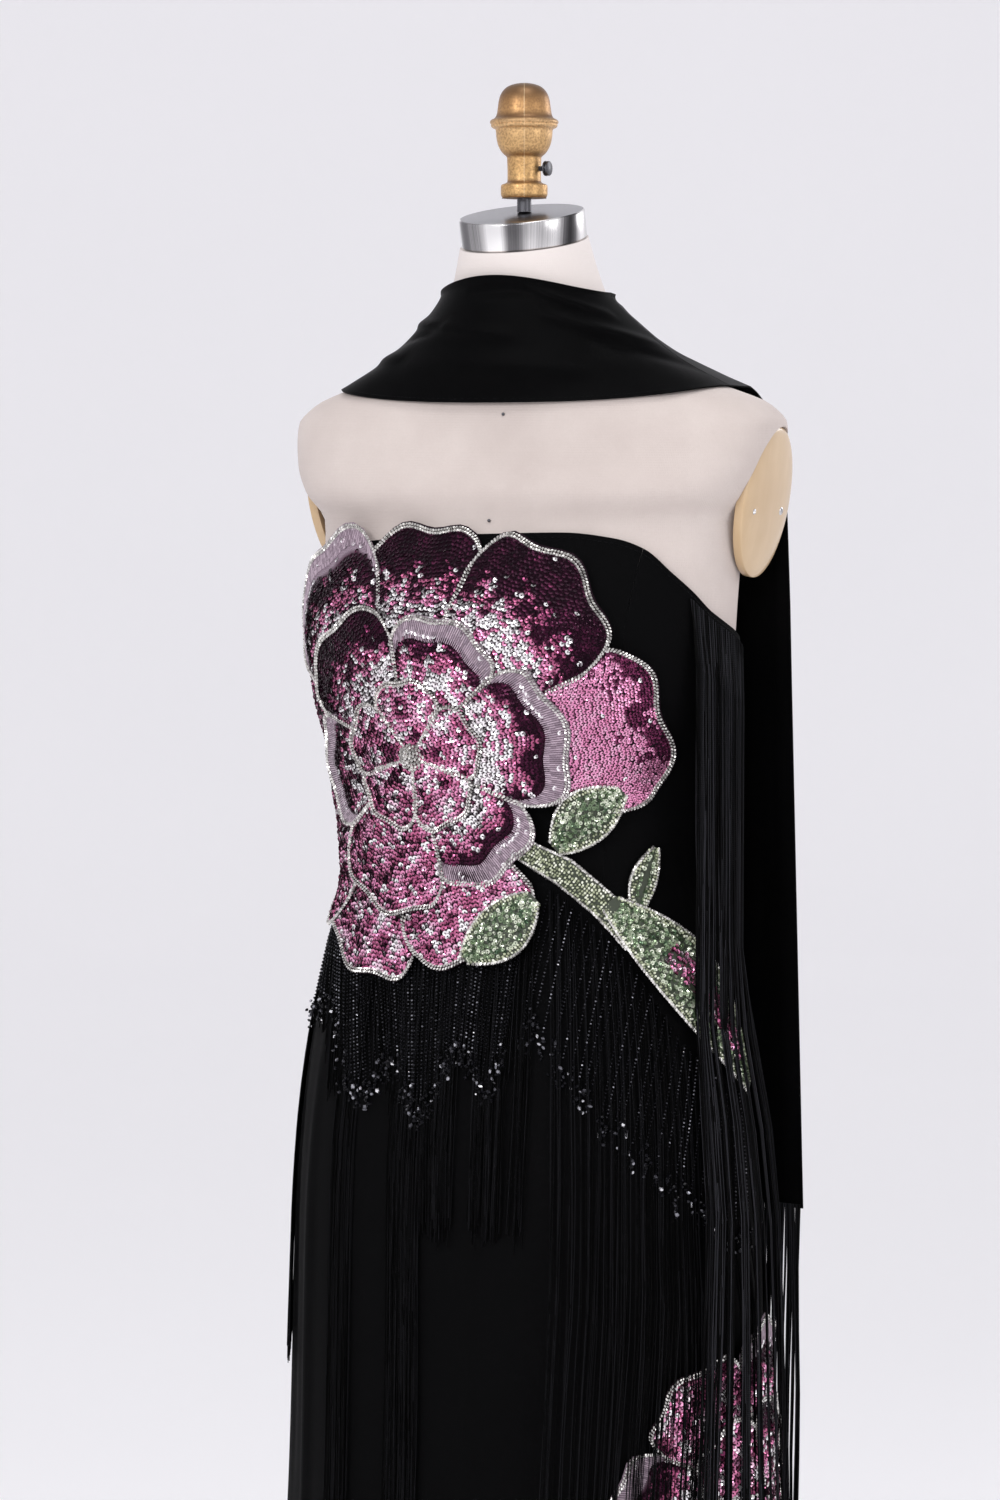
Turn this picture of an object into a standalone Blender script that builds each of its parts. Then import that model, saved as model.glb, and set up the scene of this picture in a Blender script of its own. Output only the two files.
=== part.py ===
# Strapless evening gown with a draped scarf, shown on a limbless dress form.
# Metres, +Z up. The gown's front faces -Y and the wearer's left is +X.
# The origin is the centre of the stand's underside, on the floor.
import math
from collections import namedtuple

import bmesh
import bpy
import numpy as np
from mathutils import Matrix, Vector

# Driving dimensions of the cloth
wall = 0.0015
seam_gap = 0.0010
hem_height = 0.015
waist_height = 1.075
form_clearance = 0.0038
fold_count = 9
fold_depth = 0.007

# Outline of the gown's outer face, one row for each height. The two half ovals of a
# section, front and back, meet at its widest line, which lies at centre_y.
Section = namedtuple("Section", "height half_width centre_y front_depth back_depth squareness")
gown_sections = [
    Section(0.015, 0.225, 0.000, 0.172, 0.222, 2.0),
    Section(0.300, 0.203, 0.000, 0.149, 0.190, 2.0),
    Section(0.620, 0.184, 0.000, 0.128, 0.160, 2.0),
    Section(0.820, 0.179, 0.000, 0.121, 0.143, 2.0),
    Section(0.880, 0.175, 0.000, 0.118, 0.139, 2.0),
    Section(0.950, 0.166, 0.000, 0.110, 0.130, 2.0),
    Section(1.020, 0.150, 0.000, 0.099, 0.110, 2.0),
    Section(1.075, 0.134, 0.000, 0.090, 0.088, 2.0),
    Section(1.130, 0.140, 0.000, 0.095, 0.091, 2.0),
    Section(1.170, 0.149, 0.000, 0.103, 0.097, 2.0),
    Section(1.210, 0.160, 0.000, 0.111, 0.104, 2.0),
    Section(1.250, 0.164, 0.002, 0.114, 0.104, 2.1),
    Section(1.290, 0.164, 0.008, 0.102, 0.098, 2.2),
    Section(1.325, 0.168, 0.016, 0.091, 0.092, 2.3),
    Section(1.345, 0.176, 0.0195, 0.0875, 0.0885, 2.4),
]

# The dress form above the gown, up to its neck
form_upper_sections = [
    Section(1.330, 0.1645, 0.017, 0.0865, 0.0875, 2.3),
    Section(1.350, 0.176, 0.0195, 0.088, 0.084, 2.9),
    Section(1.370, 0.185, 0.022, 0.082, 0.080, 3.0),
    Section(1.400, 0.190, 0.025, 0.073, 0.070, 2.8),
    Section(1.414, 0.179, 0.026, 0.068, 0.060, 2.5),
    Section(1.428, 0.145, 0.022, 0.064, 0.056, 2.2),
    Section(1.445, 0.107, 0.018, 0.061, 0.054, 2.1),
    Section(1.465, 0.079, 0.014, 0.058, 0.053, 2.0),
    Section(1.485, 0.061, 0.008, 0.053, 0.052, 2.0),
    Section(1.510, 0.052, 0.003, 0.049, 0.049, 2.0),
    Section(1.531, 0.0465, 0.000, 0.0465, 0.0465, 2.0),
]
form_bottom = 0.800
neck_tilt = math.radians(12)
neck_tilt_starts = 1.465

# Height of the gown's top edge round the body: 0 degrees is the front, 90 the wearer's left
EdgeHeight = namedtuple("EdgeHeight", "degrees height")
top_edge = [
    EdgeHeight(-180, 1.225), EdgeHeight(-140, 1.234), EdgeHeight(-105, 1.262),
    EdgeHeight(-78, 1.288), EdgeHeight(-45, 1.311), EdgeHeight(-20, 1.318),
    EdgeHeight(0, 1.3215), EdgeHeight(20, 1.323), EdgeHeight(35, 1.319),
    EdgeHeight(45, 1.312), EdgeHeight(58, 1.294), EdgeHeight(67, 1.2815),
    EdgeHeight(78, 1.266), EdgeHeight(105, 1.2455), EdgeHeight(140, 1.232),
    EdgeHeight(180, 1.225),
]

# Panels, each between two seams in degrees round the body
Panel = namedtuple("Panel", "name start end columns")
bodice_panels = [
    Panel("bodice_front", -45, 45, 9),
    Panel("bodice_side_left", 45, 105, 6),
    Panel("bodice_back_left", 105, 180, 7),
    Panel("bodice_back_right", -180, -105, 7),
    Panel("bodice_side_right", -105, -45, 6),
]
skirt_panels = [
    Panel("skirt_front", -88, 88, 20),
    Panel("skirt_back_left", 88, 180, 10),
    Panel("skirt_back_right", -180, -88, 10),
]
bodice_rows = 7
skirt_heights = [0.015, 0.30, 0.62, 0.82, 0.88, 0.93, 0.98, 1.03, 1.055, waist_height]

# Applique layers: how far each one's underside stands off the gown, and its thickness
layer_gap = 0.0020
layer_step = 0.0018
petal_thickness = 0.0010
tip_lift = 0.0026
outer_petal_steps, middle_petal_steps = 6, 4
root_out, upper_root_out = 0.0007, 0.0003

Petal = namedtuple("Petal", "direction inner reach half_angle")
Flower = namedtuple("Flower", "arc height")
bodice_flower = Flower(-0.033, 1.163)
outer_inner_reach, outer_half_angle = 0.050, 18.2
outer_petals = [Petal(direction, outer_inner_reach, reach, outer_half_angle)
                for direction, reach in ((92, 0.166), (50, 0.180), (9, 0.188), (-72, 0.152),
                                         (-113, 0.168), (-151, 0.182), (171, 0.184), (131, 0.186))]
middle_petals = [Petal(70 + 60 * i, 0.028, (0.104, 0.117)[i % 2], 28.3) for i in range(6)]
heart_petals = 5
heart_reach = 0.056
tip_rounding, tip_wave = 0.17, 0.028

skirt_flower = Flower(0.245, 0.636)
skirt_flower_layers = [(7, 0.122), (5, 0.070)]

# The stem runs from under the bloom to the left hip. Arc is measured from the front.
StemPoint = namedtuple("StemPoint", "arc height half_width")
stem_points = [
    StemPoint(0.030, 1.106, 0.007), StemPoint(0.071, 1.084, 0.010),
    StemPoint(0.100, 1.060, 0.009), StemPoint(0.125, 1.035, 0.009),
    StemPoint(0.165, 0.990, 0.016), StemPoint(0.200, 0.957, 0.013), StemPoint(0.234, 0.928, 0.003),
]
stem_end, stem_widest = 0.125, 0.010
Leaf = namedtuple("Leaf", "name arc height direction length half_width")
leaves = [
    Leaf("leaf_upper", 0.066, 1.100, 40, 0.064, 0.019),
    Leaf("leaf_lower", 0.052, 1.066, -135, 0.064, 0.020),
    Leaf("leaf_small", 0.123, 1.052, 72, 0.050, 0.010),
    Leaf("bud", 0.103, 1.062, -46.5, 0.190, 0.023),
]

# Fringe: strand sizes and lengths
strand_width = 0.0026
strand_thickness = 0.0012
strip_height = 0.004
strip_out = 0.0013
bead_strand = 0.088
long_strand_end = 0.300
short_tassel_end = 0.830
side_tassel_end = 0.718
Tassel = namedtuple("Tassel", "start end height")
tassels = [
    Tassel(-95, -70, side_tassel_end), Tassel(-38, -30, long_strand_end),
    Tassel(-17.5, -8.5, long_strand_end), Tassel(-8, 1, short_tassel_end),
    Tassel(7, 15.5, short_tassel_end), Tassel(19.5, 27, short_tassel_end),
]
flower_fringe_strands = 44
flower_fringe_last_arc = 0.050
stem_fringe_strands = 26
stem_fringe_first_arc, stem_fringe_last_arc = 0.062, 0.222
bust_fringe_strands = 24
bust_fringe_start, bust_fringe_end = 66, 116
bust_fringe_hem = 0.160

# Scarf
scarf_thickness = 0.0012
scarf_rise = 0.003
scarf_hug, scarf_swell = 0.9, 0.003
scarf_low_edge, scarf_side_rise, shoulder_ease = 1.415, 0.0115, 0.0034
tilt_allowance = 0.006
tail_free_height = 1.390
tail_hem = 0.830
tail_fringe_end = 0.420
tail_strands = 14
tail_inner_x, tail_outer_x, tail_flare = 0.034, 0.170, 0.022
tail_rise, tail_ease = 0.0066, 0.0046
tail_fold_depth = 0.007

# Neck hardware and stand
plate_radius, plate_thickness = 0.0457, 0.0205
rod_radius = 0.0053
cap_bottom = 1.5627
screw_height = 1.5837
screw_radius, screw_reach = 0.0019, 0.0205
screw_head_radius, screw_head_thickness = 0.0055, 0.0038
arm_plate_centre = Vector((0.1700, 0.0355, 1.345))
arm_plate_depth, arm_plate_height = 0.0405, 0.055
arm_plate_thickness = 0.006
arm_plate_lean = math.radians(10)
stand_radius, stand_tube_radius = 0.150, 0.016

round_sides = 24


def smooth_row(rows, height):
    """One section at this height, from a curve through the table's rows."""
    heights = np.array([row[0] for row in rows])
    values = np.array([row[1:] for row in rows])
    height = min(max(height, heights[0]), heights[-1])
    i = int(min(max(np.searchsorted(heights, height) - 1, 0), len(heights) - 2))
    span = heights[i + 1] - heights[i]
    share = (height - heights[i]) / span
    slopes = np.diff(values, axis=0) / np.diff(heights)[:, None]

    def slope_at(k):
        if k == 0 or k == len(heights) - 1:
            return slopes[min(k, len(slopes) - 1)]
        before, after = slopes[k - 1], slopes[k]
        same_way = before * after > 0
        return np.where(same_way, 2 * before * after / np.where(same_way, before + after, 1), 0)

    low, high = slope_at(i) * span, slope_at(i + 1) * span
    row = ((2 * share**3 - 3 * share**2 + 1) * values[i]
           + (share**3 - 2 * share**2 + share) * low
           + (3 * share**2 - 2 * share**3) * values[i + 1]
           + (share**3 - share**2) * high)
    return Section(height, *row)


def shrunk(row, by):
    return row._replace(half_width=row.half_width - by, front_depth=row.front_depth - by,
                        back_depth=row.back_depth - by)


form_sections = [shrunk(smooth_row(gown_sections, h), form_clearance)
                 for h in (0.80, 0.82, 0.88, 0.93, 0.98, 1.03, 1.055, 1.075, 1.12, 1.165, 1.21,
                           1.25, 1.29)]
form_sections += form_upper_sections


def section_point(row, degrees, out=0.0):
    """A point of a section's outline and the way out from it, level with the floor."""
    angle = math.radians(degrees)
    side, ahead = math.sin(angle), math.cos(angle)
    depth = row.front_depth if ahead >= 0 else row.back_depth
    power = 2 / row.squareness
    x = row.half_width * math.copysign(abs(side) ** power, side)
    y = -depth * math.copysign(abs(ahead) ** power, ahead)
    normal = Vector((x / row.half_width**2, y / depth**2, 0)).normalized()
    return Vector((x, y + row.centre_y, row.height)) + normal * out, normal


def fold_out(degrees, height):
    """The skirt's soft folds, which deepen from the hip to the hem."""
    fall = min(max((0.84 - height) / 0.82, 0), 1)
    wave = math.sin(math.radians(degrees) * fold_count + 0.6)
    slow = math.sin(math.radians(degrees) * 4 + 1.9)
    return fold_depth * fall * (0.65 * wave + 0.35 * slow)


def gown_row(height):
    """The gown's section at a height. The skirt runs straight from one of its rows to the next."""
    if height >= waist_height or height <= skirt_heights[0]:
        return smooth_row(gown_sections, height)
    above = next(h for h in skirt_heights if h > height)
    below = skirt_heights[skirt_heights.index(above) - 1]
    high, low = smooth_row(gown_sections, above), smooth_row(gown_sections, below)
    share = (height - below) / (above - below)
    return Section(*[a + (b - a) * share for a, b in zip(low, high)])


def gown_point(degrees, height, out=0.0):
    return section_point(gown_row(height), degrees, out + fold_out(degrees, height))


def edge_height(degrees):
    return float(np.interp(degrees, [e.degrees for e in top_edge], [e.height for e in top_edge]))


def degrees_at_arc(arc, height):
    """The angle round the gown at a length measured along its section from the front."""
    angles = np.arange(-180, 181, 3)
    points = np.array([gown_point(a, height)[0] for a in angles])
    steps = np.linalg.norm(np.diff(points, axis=0), axis=1)
    lengths = np.concatenate([[0], np.cumsum(steps)])
    lengths -= np.interp(0, angles, lengths)
    return float(np.interp(arc, lengths, angles))


def on_gown(arc, height, out):
    return gown_point(degrees_at_arc(arc, height), height, out)[0]


def drape_point(point, height, margin, hugs=False):
    """Where a thread that came down at this point is at a lower height, kept off the gown."""
    row = smooth_row(gown_sections, height)
    depth = row.front_depth if point.y < row.centre_y else row.back_depth
    degrees = math.degrees(math.atan2(point.x / row.half_width, -(point.y - row.centre_y) / depth))
    surface = gown_point(degrees, height, margin)[0]
    centre = Vector((0, row.centre_y, height))
    level = Vector((point.x, point.y, height))
    if hugs or (level - centre).length < (surface - centre).length:
        return surface
    return level


def material(name, colour, roughness, metallic=0.0):
    made = bpy.data.materials.new(name)
    made.use_nodes = True
    shader = made.node_tree.nodes["Principled BSDF"]
    shader.inputs["Base Color"].default_value = (*colour, 1)
    shader.inputs["Roughness"].default_value = roughness
    shader.inputs["Metallic"].default_value = metallic
    return made


def new_object(name, mesh, finish):
    obj = bpy.data.objects.new(name, mesh)
    obj.data.materials.append(finish)
    parts.objects.link(obj)
    return obj


def mesh_object(name, bm, finish):
    mesh = bpy.data.meshes.new(name)
    bm.normal_update()
    bm.to_mesh(mesh)
    bm.free()
    mesh.shade_smooth()
    mesh.set_sharp_from_angle(angle=math.radians(35))
    return new_object(name, mesh, finish)


def grid_sheet(name, rows, finish, thickness, offset):
    """Cloth as an open sheet through rows of points, given its thickness by Solidify."""
    bm = bmesh.new()
    verts = [[bm.verts.new(p) for p in row] for row in rows]
    for low, high in zip(verts, verts[1:]):
        for i in range(len(low) - 1):
            bm.faces.new((low[i], low[i + 1], high[i + 1], high[i]))
    obj = mesh_object(name, bm, finish)
    solidify = obj.modifiers.new("wall", "SOLIDIFY")
    solidify.thickness = thickness
    solidify.offset = offset
    solidify.use_even_offset = True
    return obj


def panel_columns(panel, height):
    """Angles across a panel, drawn in at both ends by half a seam."""
    ends = []
    for degrees, way in ((panel.start, 1), (panel.end, -1)):
        ahead = gown_point(degrees + way, height)[0] - gown_point(degrees, height)[0]
        ends.append(degrees + way * seam_gap / 2 / ahead.length)
    return np.linspace(*ends, panel.columns + 1)


def make_bodice(finish):
    for panel in bodice_panels:
        rows = []
        for share in np.linspace(0, 1, bodice_rows + 1):
            row = []
            for degrees in panel_columns(panel, waist_height):
                low = waist_height + seam_gap / 2
                height = low + share * (edge_height(degrees) - low)
                row.append(gown_point(degrees, height)[0])
            rows.append(row)
        grid_sheet(panel.name, rows, finish, wall, -1)


def make_skirt(finish):
    heights = skirt_heights[:-1] + [waist_height - seam_gap / 2]
    for panel in skirt_panels:
        rows = [[gown_point(d, h)[0] for d in panel_columns(panel, h)] for h in heights]
        grid_sheet(panel.name, rows, finish, wall, -1)


def petal_layout(flower, petal, along, across):
    """Arc and height of a point of a petal: along runs from root to tip, across from -1 to 1."""
    angle = math.radians(petal.direction + across * petal.half_angle)
    wave = math.cos(2.6 * math.pi * across + petal.direction)
    tip = 1 - tip_rounding * abs(across) ** 2.6 + tip_wave * wave
    reach = petal.inner + (petal.reach - petal.inner) * along * tip
    return flower.arc + reach * math.cos(angle), flower.height + reach * math.sin(angle)


def make_petal(name, flower, petal, layer, lifted, steps, finish):
    sideways = max(-math.cos(math.radians(petal.direction)), 0)
    full_lift = tip_lift * (1 + 0.4 * sideways) if lifted else 0
    rows = []
    for along in np.linspace(0, 1, steps + 1):
        row = []
        lift = full_lift * min(along / 0.6, 1)
        for across in np.linspace(-1, 1, 7):
            arc, height = petal_layout(flower, petal, along, across)
            out = layer_gap + layer * layer_step + lift
            if along == 0 and layer < 1:
                out = root_out if lifted else upper_root_out
            row.append(on_gown(arc, height, out))
        rows.append(row)
    grid_sheet(name, rows, finish, petal_thickness, 1 if signed_area(rows) > 0 else -1)


def signed_area(rows):
    """Tells which way a sheet's faces look: positive when they look out from the body."""
    a, b, c = rows[0][0], rows[0][-1], rows[-1][0]
    normal = (b - a).cross(c - a)
    centre = (a + b + c) / 3
    return normal.dot(Vector((centre.x, centre.y, 0)))


def make_bodice_flower(finish):
    for i, petal in enumerate(outer_petals):
        hangs_fringe = petal.direction < -40
        make_petal(f"outer_petal_{i + 1}", bodice_flower, petal,
                   0 if hangs_fringe else 0.3, hangs_fringe, outer_petal_steps, finish)
    for i, petal in enumerate(middle_petals):
        make_petal(f"middle_petal_{i + 1}", bodice_flower, petal, 2.75, False,
                   middle_petal_steps, finish)
    make_rosette("flower_heart", bodice_flower, heart_petals, heart_reach, 3.75, finish)


def make_rosette(name, flower, count, reach, layer, finish):
    """A layer of petals cut in one, as a disc with a lobed edge."""
    steps = count * 5
    bm = bmesh.new()
    out = layer_gap + layer * layer_step
    centre = bm.verts.new(on_gown(flower.arc, flower.height, out))
    rings = []
    for share in (0.3, 0.55, 0.8, 1):
        ring = []
        for i in range(steps):
            angle = 2 * math.pi * i / steps
            lobe = abs(math.sin(count * angle / 2)) ** 0.6
            radius = reach * share * (1 - (0.22 - 0.22 * lobe) * share)
            arc = flower.arc + radius * math.cos(angle)
            height = flower.height + radius * math.sin(angle)
            ring.append(bm.verts.new(on_gown(arc, height, out)))
        rings.append(ring)
    for i in range(steps):
        j = (i + 1) % steps
        bm.faces.new((centre, rings[0][i], rings[0][j]))
        for low, high in zip(rings, rings[1:]):
            bm.faces.new((low[i], high[i], high[j], low[j]))
    obj = mesh_object(name, bm, finish)
    solidify = obj.modifiers.new("wall", "SOLIDIFY")
    solidify.thickness = petal_thickness
    solidify.offset = 1
    solidify.use_even_offset = True


def make_stem_and_leaves(finish):
    rows = []
    arcs = [p.arc for p in stem_points]
    for i, arc in enumerate(np.linspace(arcs[0], stem_end, 7)):
        height = float(np.interp(arc, arcs, [p.height for p in stem_points]))
        half = float(np.interp(arc, arcs, [p.half_width for p in stem_points]))
        half = min(half, stem_widest)
        across = Vector((0.62, 0.78)) * half
        out = root_out if i == 0 else layer_gap
        rows.append([on_gown(arc + side * across.x, height + side * across.y, out)
                     for side in (-1, 0, 1)])
    grid_sheet("stem", rows, finish, 0.0014, 1 if signed_area(rows) > 0 else -1)
    for leaf in leaves:
        make_leaf(leaf, finish)


def leaf_layout(leaf, along, across):
    angle = math.radians(leaf.direction)
    width = leaf.half_width * math.sin(math.pi * (0.06 + 0.9 * along)) ** 0.8 * across
    forward = leaf.length * along
    return (leaf.arc + forward * math.cos(angle) - width * math.sin(angle),
            leaf.height + forward * math.sin(angle) + width * math.cos(angle))


def make_leaf(leaf, finish):
    layer = {"leaf_lower": 2.55, "leaf_small": -0.5, "bud": 1.9}.get(leaf.name, 1.2)
    rows = [[on_gown(*leaf_layout(leaf, along, across), layer_gap + layer * layer_step)
             for across in (-1, 0, 1)] for along in (0, 0.12, 0.27, 0.45, 0.65, 0.82, 0.94, 1)]
    grid_sheet(leaf.name, rows, finish, petal_thickness, 1 if signed_area(rows) > 0 else -1)


def fringe(name, roots, paths, finish):
    """A narrow strip with a strand drawn down from each tooth along its lower side.

    roots holds, for each strand, its root point and the ways along, out of and up the strip.
    paths holds, for each strand, the centres of its lower cross sections.
    """
    bm = bmesh.new()
    stations = []
    for root, along, out, up in roots:
        for side in (-1, 1):
            point = root + along * side * strand_width / 2
            inner, outer = point - out * strand_thickness / 2, point + out * strand_thickness / 2
            stations.append([bm.verts.new(p) for p in (inner, outer, outer + up, inner + up)])
    teeth = []
    for k, (left, right) in enumerate(zip(stations, stations[1:])):
        for side in range(4):
            after = (side + 1) % 4
            face = bm.faces.new((left[side], left[after], right[after], right[side]))
            if side == 0 and k % 2 == 0:
                teeth.append(face)
    bm.faces.new(stations[0][::-1])
    bm.faces.new(stations[-1])
    for tooth, path in zip(teeth, paths):
        bottom = tooth
        for centre in path:
            offsets = [v.co.copy() for v in bottom.verts]
            middle = sum(offsets, Vector()) / 4
            made = bmesh.ops.extrude_discrete_faces(bm, faces=[bottom])
            bottom = made["faces"][0]
            for vert, start in zip(bottom.verts, offsets):
                vert.co = centre + (start - middle).to_2d().to_3d()
    if bm.calc_volume(signed=True) < 0:
        bmesh.ops.reverse_faces(bm, faces=bm.faces)
    return mesh_object(name, bm, finish)


def hang(root, end, margin, heights, hugs=False):
    """Centres of a strand's lower sections, from its root down to its end."""
    path, point = [], root
    for height in sorted((h for h in heights if end < h < root.z - 0.02), reverse=True):
        point = drape_point(point, height, margin, hugs)
        path.append(point)
    path.append(drape_point(point, end, margin, hugs))
    return path


def strip_frames(points, ways_out, margin=None):
    """Each strand's root, with the level way along, the way out and the way up its strip."""
    frames = []
    ahead = points[-1] - points[0]
    for point, out in zip(points, ways_out):
        along = Vector((-out.y, out.x, 0)).normalized()
        if along.dot(ahead) < 0:
            along = -along
        up = Vector((0, 0, strip_height))
        if margin is not None:
            up = drape_point(point, point.z + strip_height, margin, hugs=True) - point
        frames.append((point, along, out, up))
    return frames


def make_flower_fringe(finish):
    """Strings of beads, and tassels of thread in groups, from under the bloom's lower edge."""
    margin = 0.0022
    angles = np.radians(np.arange(-150, -49, 2))
    tips = sorted((p.direction, p.reach) for p in outer_petals if p.direction < -40)
    reaches = 0.86 * np.interp(np.degrees(angles), [t[0] for t in tips], [t[1] for t in tips])
    edge_arcs, edge_drops = reaches * np.cos(angles), reaches * np.sin(angles)
    points, ways, paths = [], [], []
    last_arc = flower_fringe_last_arc - bodice_flower.arc
    for arc in np.linspace(edge_arcs[0], last_arc, flower_fringe_strands):
        height = bodice_flower.height + float(np.interp(arc, edge_arcs, edge_drops))
        degrees = degrees_at_arc(bodice_flower.arc + float(arc), height)
        root, out = gown_point(degrees, height, margin)
        points.append(root)
        ways.append(out)
        end = root.z - bead_strand - 0.02 * math.cos(float(arc) * 90)
        for tassel in tassels:
            if tassel.start <= degrees <= tassel.end:
                end = tassel.height
        paths.append(hang(root, end, margin, strand_heights, hugs=True))
    fringe("flower_fringe", strip_frames(points, ways, margin), paths, finish)


def make_stem_fringe(finish):
    """Bead strings and long threads in turn along the stem's lower edge."""
    points, ways, paths = [], [], []
    arcs = [p.arc for p in stem_points]
    stem_arcs = np.linspace(stem_fringe_first_arc, stem_fringe_last_arc, stem_fringe_strands)
    for i, arc in enumerate(stem_arcs):
        height = float(np.interp(arc, arcs, [p.height for p in stem_points]))
        half = float(np.interp(arc, arcs, [p.half_width for p in stem_points]))
        below = height - 1.45 * half - 0.0055
        root, out = gown_point(degrees_at_arc(arc, below), below, strip_out)
        points.append(root)
        ways.append(out)
        is_string = i % 2 == 0
        end = root.z - bead_strand if is_string else long_strand_end + 0.02 * (i % 3)
        path = hang(root, end, 0.0028, strand_heights + [0.770])
        paths.append([drape_point(p, p.z, 0.0098) if p.z < 0.78 else p for p in path])
    fringe("stem_fringe", strip_frames(points, ways, strip_out), paths, finish)


def make_bust_fringe(finish):
    """The long curtain of threads from the bodice's top edge on the wearer's left."""
    points, ways, paths = [], [], []
    for degrees in np.linspace(bust_fringe_start, bust_fringe_end, bust_fringe_strands):
        height = edge_height(degrees) - 0.006
        root, out = gown_point(degrees, height, strip_out)
        points.append(root)
        ways.append(out)
        start = Vector(root)
        path = hang(start, bust_fringe_hem, 0.0085, curtain_heights)
        paths.append([drape_point(p, p.z, 0.0130) if p.z < 0.85 else p for p in path])
    fringe("bust_fringe", strip_frames(points, ways, strip_out), paths, finish)


def form_back_y(x, height):
    row = smooth_row(form_sections, height)
    share = min(abs(x) / row.half_width, 1)
    return row.centre_y + row.back_depth * (1 - share**row.squareness) ** (1 / row.squareness)


def gown_back_y(x, height):
    row = smooth_row(gown_sections, height)
    share = min(abs(x) / row.half_width, 1)
    return row.centre_y + row.back_depth * (1 - share**row.squareness) ** (1 / row.squareness)


def scarf_edge_low(degrees):
    sideways = math.sin(math.radians(degrees)) ** 2
    height = scarf_low_edge + scarf_side_rise * sideways
    section = smooth_row(form_sections, height - shoulder_ease * sideways)
    point = section_point(section, degrees, scarf_rise + 0.0015)[0]
    point.z = height
    return point


def scarf_edge_high(degrees):
    height = 1.506 - 0.012 * math.sin(math.radians(degrees)) ** 2
    point = section_point(smooth_row(form_sections, height - tilt_allowance), degrees, scarf_rise)[0]
    point.z = height
    return point


def scarf_point(degrees, share):
    """A point of the drape between its lower edge, at share 0, and its edge at the neck."""
    low, high = scarf_edge_low(degrees), scarf_edge_high(degrees)
    taut = low.lerp(high, float(share))
    section = smooth_row(form_sections, taut.z - tilt_allowance * share)
    snug, way_out = section_point(section, degrees, scarf_rise)
    snug.z = taut.z
    return taut.lerp(snug, scarf_hug) + way_out * scarf_swell * math.sin(math.pi * share)


def make_scarf(finish, fringe_finish):
    rows = [[scarf_point(degrees, share) for degrees in np.linspace(-89.6, 89.6, 19)]
            for share in np.linspace(0, 1, 6)]
    grid_sheet("scarf_front", rows, finish, scarf_thickness, 1)
    for name, side in (("left", 1), ("right", -1)):
        make_tail(name, side, finish, fringe_finish)


def tail_rows(side):
    """Rows of one hanging end, from the shoulder ridge down the back to its hem."""
    shares = np.linspace(0, 1, 9)
    rows = [[scarf_point(90 * side, 1 - share) for share in shares]]
    for drop in (0.03, 0.1, 0.24, 0.45, 0.7, 1):
        row = []
        for i, share in enumerate(shares):
            top = rows[0][i]
            height = top.z + (tail_free_height - top.z) * drop
            x = abs(top.x) + (tail_x(share) - abs(top.x)) * drop
            back = form_back_y(x, height - tilt_allowance) + tail_rise
            row.append(Vector((side * x, max(back, top.y), height)))
        rows.append(row)
    for height in (1.35, 1.28, 1.19, 1.08, 0.96, tail_hem):
        fall = min((tail_free_height - height) / 0.3, 1)
        flare = tail_flare * (tail_free_height - height) / (tail_free_height - tail_hem)
        row = []
        for i, share in enumerate(shares):
            x = tail_x(share) + flare * float(share)
            wave = tail_fold_depth * fall * math.sin(2 * math.pi * 2.5 * share + 0.8)
            near = max(gown_back_y(x, height), form_back_y(x, height)) + tail_ease
            y = max(rows[-1][i].y, near + tail_fold_depth * fall + wave)
            if height > arm_plate_centre.z - arm_plate_height - 0.02:
                y = max(y, arm_plate_centre.y + arm_plate_depth + 0.006)
            row.append(Vector((side * x, y, height)))
        rows.append(row)
    return rows


def tail_x(share):
    return tail_inner_x + (tail_outer_x - tail_inner_x) * float(share)


def make_tail(name, side, finish, fringe_finish):
    rows = tail_rows(side)
    grid_sheet(f"scarf_tail_{name}", rows, finish, scarf_thickness, -side)
    last = [p.copy() for p in rows[-1]]
    points, ways, paths = [], [], []
    for share in np.linspace(0.03, 0.97, tail_strands):
        at = share * (len(last) - 1)
        i = int(at)
        root = last[i].lerp(last[i + 1], at - i)
        root.z = tail_hem - 0.0045
        points.append(root)
        ways.append(Vector((0, 1, 0)))
        end = Vector(root)
        end.z = tail_fringe_end
        end.y = max(root.y, gown_back_y(root.x, tail_fringe_end) + 0.014)
        middle = root.lerp(end, 0.5)
        paths.append([middle, end])
    fringe(f"scarf_fringe_{name}", strip_frames(points, ways), paths, fringe_finish)


def make_form(finish):
    """The torso and neck, lofted through the form's sections, with a recess for each arm plate."""
    bm = bmesh.new()
    rings = []
    for row in form_sections:
        ring = []
        tilt = math.tan(neck_tilt) * min(max((row.height - neck_tilt_starts) / 0.066, 0), 1)
        for i in range(round_sides):
            point = section_point(row, -180 + 360 * i / round_sides)[0]
            point.z += tilt * point.y
            ring.append(bm.verts.new(point))
        rings.append(ring)
    for low, high in zip(rings, rings[1:]):
        for i in range(round_sides):
            j = (i + 1) % round_sides
            bm.faces.new((low[i], low[j], high[j], high[i]))
    bm.faces.new(rings[0][::-1])
    bm.faces.new(rings[-1])
    torso = mesh_object("form_torso", bm, finish)
    for side in (1, -1):
        cut = torso.modifiers.new("arm_recess", "BOOLEAN")
        cut.operation = "DIFFERENCE"
        cut.object = make_arm_cutter(side)


def arm_matrix(side):
    """Places an arm plate: its own Z runs out of the shoulder."""
    centre = Vector((side * arm_plate_centre.x, arm_plate_centre.y, arm_plate_centre.z))
    turn = Matrix.Rotation(side * (math.pi / 2 + arm_plate_lean), 4, "Y")
    return Matrix.Translation(centre) @ turn


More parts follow.
